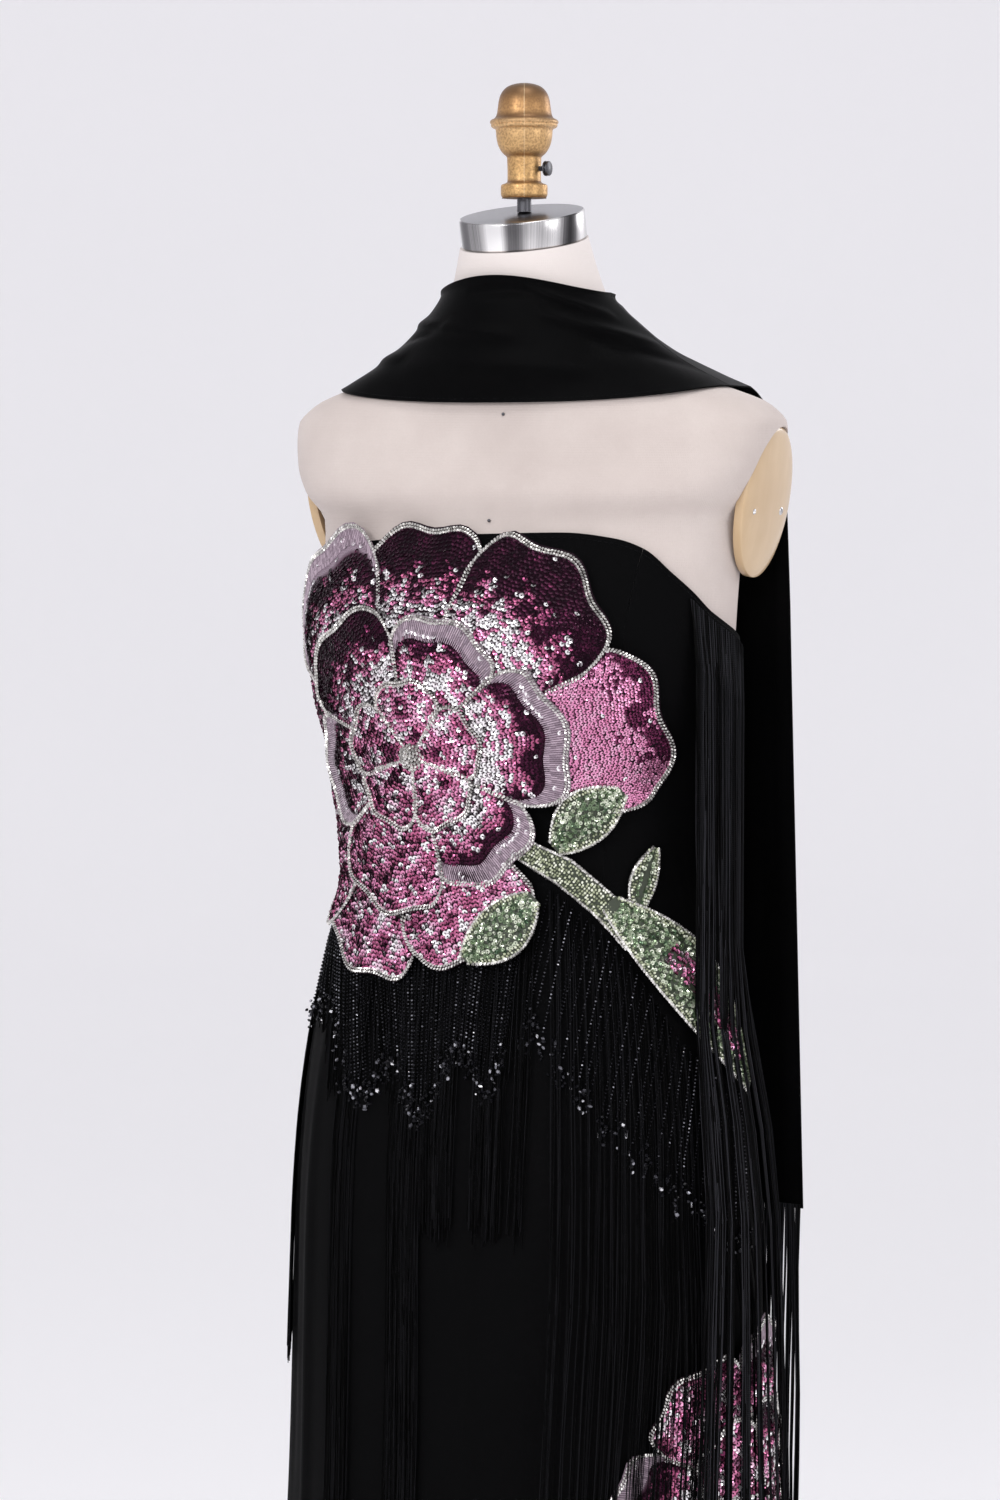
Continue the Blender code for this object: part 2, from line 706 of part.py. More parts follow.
def oval_prism(depth, height, low, high, dome=0.0):
    """An upright prism on an oval, whose top may be domed. X is the oval's height."""
    bm = bmesh.new()
    rings = []
    for z, share in ((low, 1), (high, 1), (high + dome * 0.7, 0.6)):
        ring = []
        for i in range(round_sides):
            angle = 2 * math.pi * i / round_sides
            x, y = height * share * math.cos(angle), depth * share * math.sin(angle)
            ring.append(bm.verts.new((x, y, z)))
        rings.append(ring)
    for lower, upper in zip(rings, rings[1:]):
        for i in range(round_sides):
            j = (i + 1) % round_sides
            bm.faces.new((lower[i], lower[j], upper[j], upper[i]))
    bm.faces.new(rings[0][::-1])
    bm.faces.new(rings[-1])
    return bm


def make_arm_cutter(side):
    bm = oval_prism(arm_plate_depth + 0.0004, arm_plate_height + 0.0004, 0, 0.05)
    mesh = bpy.data.meshes.new("arm_cutter")
    bm.to_mesh(mesh)
    bm.free()
    cutter = bpy.data.objects.new(f"arm_cutter_{side}", mesh)
    cutter.matrix_world = arm_matrix(side)
    cutter.hide_render = True
    cutter.display_type = "WIRE"
    cutters.objects.link(cutter)
    return cutter


def make_arm_plate(name, side, finish):
    bm = oval_prism(arm_plate_depth, arm_plate_height, 0.0003, arm_plate_thickness, 0.005)
    plate = mesh_object(f"arm_plate_{name}", bm, finish)
    plate.matrix_world = arm_matrix(side)


def turned(name, profile, finish, steps=round_sides):
    """A round piece from its profile of radius and height, listed from the top down."""
    mesh = bpy.data.meshes.new(name)
    points = [(radius, 0, height) for radius, height in profile]
    mesh.from_pydata(points, [(i, i + 1) for i in range(len(points) - 1)], [])
    obj = new_object(name, mesh, finish)
    screw = obj.modifiers.new("turn", "SCREW")
    screw.steps = screw.render_steps = steps
    screw.use_merge_vertices = True
    screw.merge_threshold = 0.0001
    return obj


def cylinder(name, radius, depth, finish, vertices=round_sides):
    bpy.ops.mesh.primitive_cylinder_add(vertices=vertices, radius=radius, depth=depth)
    obj = bpy.context.object
    obj.name = name
    for old in list(obj.users_collection):
        old.objects.unlink(obj)
    parts.objects.link(obj)
    obj.data.materials.append(finish)
    return obj


def make_neck_hardware(chrome, gold, steel):
    plate = cylinder("neck_plate", plate_radius, plate_thickness, chrome, 32)
    plate.rotation_euler = (neck_tilt, 0, 0)
    lift = plate_thickness / 2 + 0.0004
    plate.location = (0, -math.sin(neck_tilt) * lift, 1.531 + math.cos(neck_tilt) * lift)
    bevel = plate.modifiers.new("edge", "BEVEL")
    bevel.width = 0.0012
    bevel.segments = 1
    plate_top = 1.531 + (plate_thickness + 0.0004) / math.cos(neck_tilt)
    bm = bmesh.new()
    bmesh.ops.create_cone(bm, cap_ends=True, segments=12, radius1=rod_radius,
                          radius2=rod_radius, depth=1)
    for vert in bm.verts:
        if vert.co.z > 0:
            vert.co.z = cap_bottom - 0.0003
        else:
            vert.co.z = plate_top + 0.0004 + math.tan(neck_tilt) * vert.co.y
    mesh_object("neck_rod", bm, steel)
    cap_profile = [
        (0.0000, 0.0828), (0.0077, 0.0818), (0.0140, 0.0788), (0.0178, 0.0748),
        (0.0194, 0.0702), (0.0206, 0.0602), (0.0222, 0.0572), (0.0246, 0.0552),
        (0.0248, 0.0522), (0.0212, 0.0497), (0.0197, 0.0436), (0.0184, 0.0376),
        (0.0160, 0.0326), (0.0124, 0.0287), (0.0119, 0.0226), (0.0119, 0.0120),
        (0.0162, 0.0098), (0.0166, 0.0030), (0.0158, 0.0000), (0.0000, 0.0000),
    ]
    turned("neck_cap", [(r, z + cap_bottom) for r, z in cap_profile], gold)
    screw = turned("thumb_screw", [
        (0.0000, screw_reach), (screw_head_radius * 0.9, screw_reach),
        (screw_head_radius, screw_reach - 0.0006),
        (screw_head_radius, screw_reach - screw_head_thickness),
        (screw_radius, screw_reach - screw_head_thickness),
        (screw_radius, 0.0123), (0.0000, 0.0123),
    ], steel, 12)
    screw.rotation_euler = (0, math.pi / 2, 0)
    screw.location = (0, 0, screw_height)


def make_stand(steel):
    turned("stand_base", [
        (0.0000, 0.0500), (0.0200, 0.0500), (0.0240, 0.0440), (0.0260, 0.0240),
        (0.0600, 0.0160), (0.1400, 0.0110), (stand_radius, 0.0070), (stand_radius, 0.0000),
        (0.0000, 0.0000),
    ], steel, 32)
    low, high = 0.0503, form_bottom - 0.0093
    tube = cylinder("stand_tube", stand_tube_radius, high - low, steel)
    tube.location = (0, 0, (low + high) / 2)
    flange = cylinder("stand_flange", 0.045, 0.0086, steel)
    flange.location = (0, 0, form_bottom - 0.0004 - 0.0043)


def make_zip(finish, steel):
    """The closing down the centre back: its folded edges, its slider and its pull tab."""
    rows = []
    for height in (0.93, 0.98, 1.03, 1.075, 1.12, 1.165, 1.206):
        row = []
        for shift in (1, 0, -1):
            degrees = 180 - math.degrees(shift * 0.0032 / 0.1)
            point = gown_point(degrees, height, 0.0009)[0]
            row.append(point)
        rows.append(row)
    grid_sheet("zip_placket", rows, finish, 0.0010, 1 if signed_area(rows) > 0 else -1)
    bpy.ops.mesh.primitive_cube_add(size=1)
    slider = bpy.context.object
    slider.name = "zip_slider"
    for old in list(slider.users_collection):
        old.objects.unlink(slider)
    parts.objects.link(slider)
    slider.data.materials.append(steel)
    back = gown_point(180, 1.213)[0].y
    slider.data.transform(Matrix.Diagonal((0.0060, 0.0036, 0.0100, 1)))
    slider.location = (0, back + 0.0026, 1.2135)
    rim = slider.modifiers.new("edge", "BEVEL")
    rim.width = 0.0008
    rim.segments = 1
    tab_outline = [(-0.0016, 0.0006), (0.0016, 0.0006), (0.0022, -0.0080), (0.0034, -0.0180),
                   (0.0018, -0.0215), (-0.0018, -0.0215), (-0.0034, -0.0180), (-0.0022, -0.0080)]
    bm = bmesh.new()
    bm.faces.new([bm.verts.new((x, 0, z)) for x, z in tab_outline])
    tab = mesh_object("zip_tab", bm, steel)
    tab.location = (0, back + 0.0054, 1.2150)
    thick = tab.modifiers.new("thick", "SOLIDIFY")
    thick.thickness = 0.0010
    thick.offset = 0


def start_scene():
    for obj in list(bpy.data.objects):
        bpy.data.objects.remove(obj)
    made = []
    for name in ("evening_gown", "helpers"):
        collection = bpy.data.collections.new(name)
        bpy.context.scene.collection.children.link(collection)
        made.append(collection)
    return made


strand_heights = [1.20, 1.075, 1.055, 1.03, 0.98, 0.93, 0.88, 0.82, 0.62]
curtain_heights = [1.24, 1.15, 1.03, 0.93, 0.82, 0.50]
parts, cutters = start_scene()
crepe = material("black_crepe", (0.012, 0.012, 0.014), 0.75)
silk = material("black_thread", (0.015, 0.015, 0.020), 0.45)
sequins = material("plum_sequin", (0.55, 0.16, 0.38), 0.25, 0.4)
green_beads = material("green_beads", (0.50, 0.58, 0.38), 0.3)
canvas = material("cream_canvas", (0.80, 0.76, 0.71), 0.85)
wood = material("pale_wood", (0.72, 0.55, 0.33), 0.4)
gold = material("gold_paint", (0.62, 0.43, 0.20), 0.4, 0.7)
chrome = material("brushed_chrome", (0.75, 0.75, 0.76), 0.25, 1.0)
dark_steel = material("dark_steel", (0.10, 0.10, 0.11), 0.4, 0.9)

make_bodice(crepe)
make_skirt(crepe)
make_zip(crepe, dark_steel)
make_bodice_flower(sequins)
for layer, (count, reach) in enumerate(skirt_flower_layers):
    make_rosette(f"skirt_flower_layer_{layer + 1}", skirt_flower, count, reach,
                 1.5 + 1.45 * layer, sequins)
make_stem_and_leaves(green_beads)
make_flower_fringe(silk)
make_stem_fringe(silk)
make_bust_fringe(silk)
make_scarf(crepe, silk)
make_form(canvas)
make_arm_plate("left", 1, wood)
make_arm_plate("right", -1, wood)
make_neck_hardware(chrome, gold, dark_steel)
make_stand(dark_steel)
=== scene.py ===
import math
from collections import namedtuple
from functools import partial

import bmesh
import bpy
import numpy as np
from mathutils import Matrix, Vector


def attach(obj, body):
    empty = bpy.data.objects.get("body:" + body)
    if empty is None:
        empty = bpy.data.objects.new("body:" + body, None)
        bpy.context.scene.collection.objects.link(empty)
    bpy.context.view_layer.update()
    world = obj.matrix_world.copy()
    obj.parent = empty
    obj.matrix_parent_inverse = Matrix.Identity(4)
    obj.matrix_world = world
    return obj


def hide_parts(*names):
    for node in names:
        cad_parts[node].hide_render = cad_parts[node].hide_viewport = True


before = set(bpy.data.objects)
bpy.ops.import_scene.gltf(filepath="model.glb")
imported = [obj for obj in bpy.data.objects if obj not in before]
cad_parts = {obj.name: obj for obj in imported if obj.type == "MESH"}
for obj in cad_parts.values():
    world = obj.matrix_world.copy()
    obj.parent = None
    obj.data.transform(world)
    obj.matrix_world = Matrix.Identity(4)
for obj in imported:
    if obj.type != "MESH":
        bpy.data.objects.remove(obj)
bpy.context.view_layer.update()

mainBody = "gown_and_form"
rng = np.random.default_rng(7)

# Outlines of the gown and of the dress form, the same as the model's
Section = namedtuple("Section", "height halfWidth centreY frontDepth backDepth squareness")
gownSections = [Section(*row) for row in (
    (0.015, 0.225, 0.000, 0.172, 0.222, 2.0),
    (0.300, 0.203, 0.000, 0.149, 0.190, 2.0),
    (0.620, 0.184, 0.000, 0.128, 0.160, 2.0),
    (0.820, 0.179, 0.000, 0.121, 0.143, 2.0),
    (0.880, 0.175, 0.000, 0.118, 0.139, 2.0),
    (0.950, 0.166, 0.000, 0.110, 0.130, 2.0),
    (1.020, 0.150, 0.000, 0.099, 0.110, 2.0),
    (1.075, 0.134, 0.000, 0.090, 0.088, 2.0),
    (1.130, 0.140, 0.000, 0.095, 0.091, 2.0),
    (1.170, 0.149, 0.000, 0.103, 0.097, 2.0),
    (1.210, 0.160, 0.000, 0.111, 0.104, 2.0),
    (1.250, 0.164, 0.002, 0.114, 0.104, 2.1),
    (1.290, 0.164, 0.008, 0.102, 0.098, 2.2),
    (1.325, 0.168, 0.016, 0.091, 0.092, 2.3),
    (1.345, 0.176, 0.0195, 0.0875, 0.0885, 2.4),
)]
formUpperSections = [Section(*row) for row in (
    (1.330, 0.1645, 0.017, 0.0865, 0.0875, 2.3),
    (1.350, 0.176, 0.0195, 0.088, 0.084, 2.9),
    (1.370, 0.185, 0.022, 0.082, 0.080, 3.0),
    (1.400, 0.190, 0.025, 0.073, 0.070, 2.8),
    (1.414, 0.179, 0.026, 0.068, 0.060, 2.5),
    (1.428, 0.145, 0.022, 0.064, 0.056, 2.2),
    (1.445, 0.107, 0.018, 0.061, 0.054, 2.1),
    (1.465, 0.079, 0.014, 0.058, 0.053, 2.0),
    (1.485, 0.061, 0.008, 0.053, 0.052, 2.0),
    (1.510, 0.052, 0.003, 0.049, 0.049, 2.0),
    (1.531, 0.0465, 0.000, 0.0465, 0.0465, 2.0),
)]
# The top edge: degrees round the body, and its height there
topEdge = [
    (-180, 1.225), (-140, 1.234), (-105, 1.262), (-78, 1.288), (-45, 1.311), (-20, 1.318), (0, 1.3215),
    (20, 1.323), (35, 1.319), (45, 1.312), (58, 1.294), (67, 1.2815), (78, 1.266), (105, 1.2455),
    (140, 1.232), (180, 1.225),
]
cloth = dict(wall=0.0012, waist=1.075, hem=0.015, foldCount=9, foldDepth=0.007, formClearance=0.0038)


def rowsAt(table, heights):
    # a smooth curve through the table's rows, one column of numbers for each size
    rowHeights = np.array([row[0] for row in table])
    values = np.array([row[1:] for row in table])
    heights = np.clip(np.asarray(heights, float), rowHeights[0], rowHeights[-1])
    i = np.clip(np.searchsorted(rowHeights, heights) - 1, 0, len(rowHeights) - 2)
    gaps = np.diff(rowHeights)
    slopes = np.diff(values, axis=0) / gaps[:, None]
    before, after = slopes[:-1], slopes[1:]
    sameWay = before * after > 0
    middle = np.where(sameWay, 2 * before * after / np.where(sameWay, before + after, 1), 0)
    rowSlopes = np.vstack([slopes[:1], middle, slopes[-1:]])
    s = ((heights - rowHeights[i]) / gaps[i])[..., None]
    low, high = rowSlopes[i] * gaps[i][..., None], rowSlopes[i + 1] * gaps[i][..., None]
    mixed = ((2 * s**3 - 3 * s**2 + 1) * values[i] + (s**3 - 2 * s**2 + s) * low
             + (3 * s**2 - 2 * s**3) * values[i + 1] + (s**3 - s**2) * high)
    return [mixed[..., k] for k in range(mixed.shape[-1])]


def sectionPoints(table, degrees, heights, out=0.0):
    # points round a section and the level way out from each
    degrees, heights = np.broadcast_arrays(np.asarray(degrees, float), np.asarray(heights, float))
    halfWidth, centreY, front, back, squareness = rowsAt(table, heights)
    side, ahead = np.sin(np.radians(degrees)), np.cos(np.radians(degrees))
    depth = np.where(ahead >= 0, front, back)
    power = 2 / squareness
    x = halfWidth * np.sign(side) * np.abs(side) ** power
    y = -depth * np.sign(ahead) * np.abs(ahead) ** power
    wayX, wayY = x / halfWidth**2, y / depth**2
    length = np.hypot(wayX, wayY)
    way = np.stack([wayX / length, wayY / length, np.zeros_like(x)], -1)
    points = np.stack([x, y + centreY, heights], -1)
    return points + way * np.asarray(out)[..., None], way


def foldOut(degrees, heights):
    fall = np.clip((0.84 - heights) / 0.82, 0, 1)
    wave = np.sin(np.radians(degrees) * cloth["foldCount"] + 0.6)
    slow = np.sin(np.radians(degrees) * 4 + 1.9)
    return cloth["foldDepth"] * fall * (0.65 * wave + 0.35 * slow)


def gownPoints(degrees, heights, out=0.0):
    degrees, heights = np.broadcast_arrays(np.asarray(degrees, float), np.asarray(heights, float))
    return sectionPoints(gownSections, degrees, heights, out + foldOut(degrees, heights))


def edgeHeight(degrees):
    return rowsAt(topEdge, degrees)[0]


# Lengths measured round the gown at each height, and from them the angle at a given length
mapHeights = np.arange(0.0, 1.3481, 0.004)
mapDegrees = np.arange(-180, 181, 2.0)
mapPoints = gownPoints(mapDegrees[None, :], mapHeights[:, None])[0]
mapArcs = np.concatenate([np.zeros((len(mapHeights), 1)),
                          np.cumsum(np.linalg.norm(np.diff(mapPoints, axis=1), axis=2), axis=1)], 1)
mapArcs -= mapArcs[:, len(mapDegrees) // 2][:, None]
arcSteps = np.linspace(-0.60, 0.60, 601)
arcTable = np.array([np.interp(arcSteps, row, mapDegrees) for row in mapArcs])


def degreesAtArc(arcs, heights):
    # the angle round the gown at a length measured along it from the centre front
    arcs, heights = np.broadcast_arrays(np.asarray(arcs, float), np.asarray(heights, float))
    row = np.clip(heights / (mapHeights[1] - mapHeights[0]), 0, len(mapHeights) - 1.001)
    column = np.clip((arcs - arcSteps[0]) / (arcSteps[1] - arcSteps[0]), 0, len(arcSteps) - 1.001)
    r, c = row.astype(int), column.astype(int)
    u, v = row - r, column - c
    return ((1 - u) * ((1 - v) * arcTable[r, c] + v * arcTable[r, c + 1])
            + u * ((1 - v) * arcTable[r + 1, c] + v * arcTable[r + 1, c + 1]))


def onGown(arcs, heights, out=0.0):
    return gownPoints(degreesAtArc(arcs, heights), heights, out)[0]


# Meshes

def newObject(name, mesh):
    obj = bpy.data.objects.new(name, mesh)
    bpy.context.scene.collection.objects.link(obj)
    return obj


def meshFrom(name, points, faces, edges=()):
    mesh = bpy.data.meshes.new(name)
    mesh.from_pydata([tuple(p) for p in points], list(edges), faces)
    mesh.update()
    return mesh


def gridFaces(rows, columns, closed=False):
    faces = []
    for r in range(rows - 1):
        for c in range(columns if closed else columns - 1):
            d = (c + 1) % columns
            faces.append((r * columns + c, r * columns + d, (r + 1) * columns + d, (r + 1) * columns + c))
    return faces


def tubeFaces(rings, sides):
    # faces of a tube with both of its ends closed
    last = (rings - 1) * sides
    ends = [tuple(range(sides))[::-1], tuple(range(last, last + sides))]
    return gridFaces(rings, sides, closed=True) + ends


def applied(obj):
    # the object with its modifiers made part of its mesh
    bpy.context.view_layer.update()
    evaluated = obj.evaluated_get(bpy.context.evaluated_depsgraph_get())
    mesh = bpy.data.meshes.new_from_object(evaluated)
    obj.modifiers.clear()
    obj.data = mesh
    return obj


def cutBy(obj, cutter):
    # the cutter's space taken out of the object, and the cutter out of the scene
    cut = obj.modifiers.new("cut", "BOOLEAN")
    cut.operation, cut.object = "DIFFERENCE", cutter
    applied(obj)
    bpy.data.objects.remove(cutter)


def smoothed(obj, degrees):
    obj.data.shade_smooth()
    obj.data.set_sharp_from_angle(angle=math.radians(degrees))
    return obj


def lengthsAlong(points):
    # how far each point lies from the first, measured along the row
    return np.concatenate([[0], np.cumsum(np.linalg.norm(np.diff(points, axis=0), axis=1))])


def clothShell(name, grid, thickness, outside=True):
    # closed shell of cloth on a grid of points (rows, columns, 3) whose faces look out
    rows, columns = grid.shape[:2]
    mesh = meshFrom(name, grid.reshape(-1, 3), gridFaces(rows, columns))
    uv = mesh.uv_layers.new(name="cloth")
    u = np.tile(lengthsAlong(grid[rows // 2]), rows)
    v = np.repeat(lengthsAlong(grid[:, columns // 2]), columns)
    for loop in mesh.loops:
        uv.data[loop.index].uv = (u[loop.vertex_index], v[loop.vertex_index])
    obj = newObject(name, mesh)
    a, b, c = grid[0, 0], grid[0, -1], grid[-1, 0]
    middle = grid.reshape(-1, 3).mean(0)
    if np.dot(np.cross(b - a, c - a), [middle[0], middle[1], 0]) < 0:
        mesh.flip_normals()
    solid = obj.modifiers.new("wall", "SOLIDIFY")
    solid.thickness = thickness
    solid.offset = 1 if outside else -1
    solid.use_even_offset = True
    return smoothed(applied(obj), 50)


def dressed(obj, material, nodes=(), body=mainBody):
    obj.data.materials.clear()
    obj.data.materials.append(material)
    if nodes:
        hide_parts(*nodes)
    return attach(obj, body)


def clothPiece(name, grid, thickness, material, node, outside=True):
    obj = dressed(clothShell(name, grid, thickness, outside), material, [node])
    return obj


# Shader maths written as Python

def mathsNode(operation, swapped=False):
    # a method that joins its socket, and the other value where there is one, to a maths node
    def method(self, *other):
        values = (*other, self) if swapped else (self, *other)
        return self.tree.node("ShaderNodeMath", {"operation": operation}, values)
    return method


class Wire:
    # a socket that Python's own operators work on
    def __init__(self, tree, socket):
        self.tree, self.socket = tree, socket

    def clamped(self):
        return self.tree.node("ShaderNodeClamp", {}, [self])

    __add__, __radd__ = mathsNode("ADD"), mathsNode("ADD", True)
    __sub__, __rsub__ = mathsNode("SUBTRACT"), mathsNode("SUBTRACT", True)
    __mul__, __truediv__ = mathsNode("MULTIPLY"), mathsNode("DIVIDE")
    sin, abs, above = mathsNode("SINE"), mathsNode("ABSOLUTE"), mathsNode("GREATER_THAN")


class Tree:
    # the nodes and links of a material or of a node group
    def __init__(self, nodeTree):
        self.nodes, self.links = nodeTree.nodes, nodeTree.links

    def node(self, kind, settings=None, values=(), output=0):
        made = self.nodes.new(kind)
        for key, value in (settings or {}).items():
            if key == "stops":
                ramp = made.color_ramp
                while len(ramp.elements) < len(value):
                    ramp.elements.new(1)
                for element, (place, colour) in zip(ramp.elements, value):
                    element.position, element.color = place, (*colour, 1)
            else:
                setattr(made, key, value)
        pairs = values.items() if isinstance(values, dict) else enumerate(values)
        for key, value in pairs:
            self.join(value, made.inputs[key])
        return Wire(self, made.outputs[output])

    def join(self, value, socket):
        if isinstance(value, Wire):
            self.links.new(value.socket, socket)
        else:
            socket.default_value = value


class Finish(Tree):
    # a material and its node tree
    def __init__(self, name, **shaderValues):
        self.material = bpy.data.materials.new(name)
        self.material.use_nodes = True
        super().__init__(self.material.node_tree)
        self.shader = self.nodes["Principled BSDF"]
        for socket, value in shaderValues.items():
            self.shader.inputs[socket.replace("_", " ")].default_value = value

    def coords(self, source="Object", scale=(1, 1, 1)):
        place = self.node("ShaderNodeTexCoord", output=source)
        return self.node("ShaderNodeMapping", {}, {0: place, 3: scale})

    def xyz(self, vector):
        node = self.nodes.new("ShaderNodeSeparateXYZ")
        self.links.new(vector.socket, node.inputs[0])
        return [Wire(self, out) for out in node.outputs]

    def noise(self, vector, scale, detail=3.0, roughness=0.5):
        return self.node("ShaderNodeTexNoise", {}, {0: vector, 2: scale, 3: detail, 4: roughness})

    def attribute(self, name):
        return self.node("ShaderNodeAttribute", {"attribute_name": name}, output="Fac")

    def ramp(self, value, *stops):
        return self.node("ShaderNodeValToRGB", {"stops": stops}, [value])

    def mixed(self, factor, first, second, blend="MIX"):
        node = self.nodes.new("ShaderNodeMix")
        node.data_type, node.blend_type = "RGBA", blend
        for index, value in ((0, factor), (6, first), (7, second)):
            if not isinstance(value, Wire) and index > 0:
                value = (*value[:3], 1)
            self.join(value, node.inputs[index])
        return Wire(self, node.outputs[2])

    def bump(self, height, strength, distance):
        return self.node("ShaderNodeBump", {}, {"Strength": strength, "Distance": distance, "Height": height})

    def surface(self, **sockets):
        for name, value in sockets.items():
            self.join(value, self.shader.inputs[name.replace("_", " ")])
        return self.material


def crepeFinish(name, shade, sheen, rough):
    # matt crepe: a fine pebbled weave, and soft changes of shade over the panel
    f = Finish(name, Sheen_Weight=sheen, Sheen_Roughness=0.4, Specular_IOR_Level=0.022)
    place = f.coords("UV")
    x, y = f.xyz(place)[:2]
    threads = (x * 5200).sin() * (y * 5200).sin()
    pebble = f.noise(place, 1400, 2.0)
    cloudy = f.noise(f.coords(), 9, 3.0)
    tone = f.mixed(cloudy, [shade * k for k in (0.8, 0.8, 0.86)], [shade * k for k in (1.35, 1.35, 1.5)])
    weave = threads * 0.35 + pebble
    return f.surface(Base_Color=tone, Roughness=cloudy * 0.12 + (rough - 0.06),
                     Normal=f.bump(weave, 0.35, 0.0003))


def threadFinish(name, shade):
    # twisted rayon: tiny turns along each thread, which lie level on Object coordinates
    f = Finish(name, Specular_IOR_Level=0.045)
    x, z = f.xyz(f.coords())[::2]
    twist = (z * 4200 + x * 900).sin()
    tint = f.attribute("tint")
    tone = f.mixed(tint * tint * tint, (shade * 0.1,) * 3, (shade * 3.6, shade * 3.6, shade * 4.2))
    return f.surface(Base_Color=tone, Roughness=tint * 0.16 + 0.38, Normal=f.bump(twist, 0.3, 0.0002))


def canvasFinish():
    # stretched cream cover: plain weave, slightly uneven tone
    f = Finish("cream_canvas", Specular_IOR_Level=0.25, Sheen_Weight=0.12, Sheen_Roughness=0.5)
    place = f.coords()
    x, z = f.xyz(place)[::2]
    weave = (x * 5400).sin() * 0.5 + (z * 5400).sin() * 0.5
    cloudy = f.noise(place, 14, 4.0)
    specks = f.noise(place, 700, 2.0)
    tone = f.mixed((cloudy - 0.3) * 2.2, (0.53, 0.458, 0.428), (0.64, 0.568, 0.532))
    tone = f.mixed(specks * 0.25, tone, (0.44, 0.38, 0.345))
    tone = f.mixed(((z - 1.42) * 9).clamped(), tone, (0.76, 0.70, 0.67))  # painted light: the neck lighter towards the top, standing in for the light from above
    return f.surface(Base_Color=tone, Roughness=specks * 0.1 + 0.72,
                     Normal=f.bump(weave + specks, 0.22, 0.0003))


print("materials")
crepe = crepeFinish("black_crepe", 0.0020, 0.003, 0.62)
scarfCloth = crepeFinish("black_satin_crepe", 0.0018, 0.010, 0.40)
thread = threadFinish("black_thread", 0.0100)
darkThread = threadFinish("dark_thread", 0.0024)
canvas = canvasFinish()

# The gown's panels, each between two seams in degrees round the body
Panel = namedtuple("Panel", "name start end columns")
bodicePanels = [Panel(*row) for row in (
    ("bodice_front", -45, 45, 50), ("bodice_side_left", 45, 105, 34), ("bodice_back_left", 105, 180, 38),
    ("bodice_back_right", -180, -105, 38), ("bodice_side_right", -105, -45, 34),
)]
skirtPanels = [Panel(*row) for row in (
    ("skirt_front", -88, 88, 110), ("skirt_back_left", 88, 180, 58), ("skirt_back_right", -180, -88, 58),
)]
seams = dict(gap=0.0001, dip=0.0002, width=0.003, pucker=0.00025, puckerWidth=0.008, meanRadius=0.15,
             rows=42, skirtRows=64)

# Creases of the cloth, each a soft line that falls from top to bottom round the body
Crease = namedtuple("Crease", "degrees top bottom drift depth width")
creases = [Crease(*row) for row in (
    (-28, 0.98, 0.55, -4, 0.0030, 3.2), (-12, 0.90, 0.30, 3, -0.0022, 3.6),
    (6, 0.96, 0.20, 2, 0.0026, 3.0), (24, 0.88, 0.25, -3, -0.0028, 3.4), (47, 0.95, 0.15, 4, 0.0030, 3.8),
    (-50, 1.00, 0.25, 2, 0.0034, 2.6), (-66, 0.97, 0.60, 5, -0.0026, 3.0),
    (72, 0.93, 0.30, -2, -0.0026, 3.2), (98, 0.95, 0.20, 3, 0.0032, 3.4),
    (122, 0.90, 0.25, -3, -0.0028, 3.6), (146, 0.98, 0.15, 2, 0.0030, 3.0),
    (168, 0.86, 0.30, -2, -0.0024, 3.4), (-98, 0.94, 0.25, -4, 0.0030, 3.4),
    (-124, 0.98, 0.20, 3, -0.0026, 3.0), (-148, 0.88, 0.15, -2, 0.0030, 3.6),
    (-170, 0.95, 0.30, 2, -0.0022, 3.2),
)]


def creaseOut(degrees, heights):
    out = np.zeros(np.broadcast(degrees, heights).shape)
    for c in creases:
        fall = np.clip((c.top - heights) / (c.top - c.bottom), 0, 1)
        centre = c.degrees + c.drift * fall
        strength = np.sin(np.pi * fall) ** 0.8
        out += c.depth * strength * np.exp(-((degrees - centre) / c.width) ** 2)
    return out


def panelGrid(panel, low, topAt, rows):
    # points over one panel, drawn in at its seams and dipped along them
    share = np.linspace(0, 1, rows)[:, None]
    degrees = np.linspace(panel.start, panel.end, panel.columns + 1)[None, :]
    heights = low + share * (topAt(degrees) - low)
    girth = seams["meanRadius"] * math.radians(panel.end - panel.start)
    inset = seams["gap"] / 2 / girth
    across = np.linspace(inset, 1 - inset, panel.columns + 1)[None, :]
    degrees = panel.start + (panel.end - panel.start) * across + 0 * heights
    nearest = np.minimum(across, 1 - across) * girth
    dip = -seams["dip"] * np.exp(-(nearest / seams["width"]) ** 2)
    pucker = seams["pucker"] * np.sin(heights * 900 + panel.start)
    pucker = pucker * np.exp(-(nearest / seams["puckerWidth"]) ** 2)
    return gownPoints(degrees, heights, dip + pucker + creaseOut(degrees, heights))[0]


def makeGown():
    # the bodice from the waist to the top edge, the skirt from the hem to the waist
    for panels, rows, low, topAt, rest in (
            (bodicePanels, seams["rows"], cloth["waist"], edgeHeight, "form_cover"),
            (skirtPanels, seams["skirtRows"], cloth["hem"], lambda d: cloth["waist"] + 0 * d,
             "bodice_front_cloth")):
        for panel in panels:
            grid = panelGrid(panel, low, topAt, rows)
            clothPiece(panel.name + "_cloth", grid, cloth["wall"], crepe, panel.name,
                       outside=False)


# The dress form: torso, arm plates and the fittings at the neck
form = dict(sides=96, neckTilt=math.radians(12), tiltStarts=1.465, bottom=0.80)
armPlate = dict(centre=(0.1700, 0.0355, 1.345), depth=0.0405, height=0.055, lean=math.radians(10),
                thickness=0.006, dome=0.005)
formLevels = [0.80, 0.82, 0.88, 0.93, 0.98, 1.03, 1.055, 1.075, 1.12, 1.165, 1.21, 1.25, 1.29]


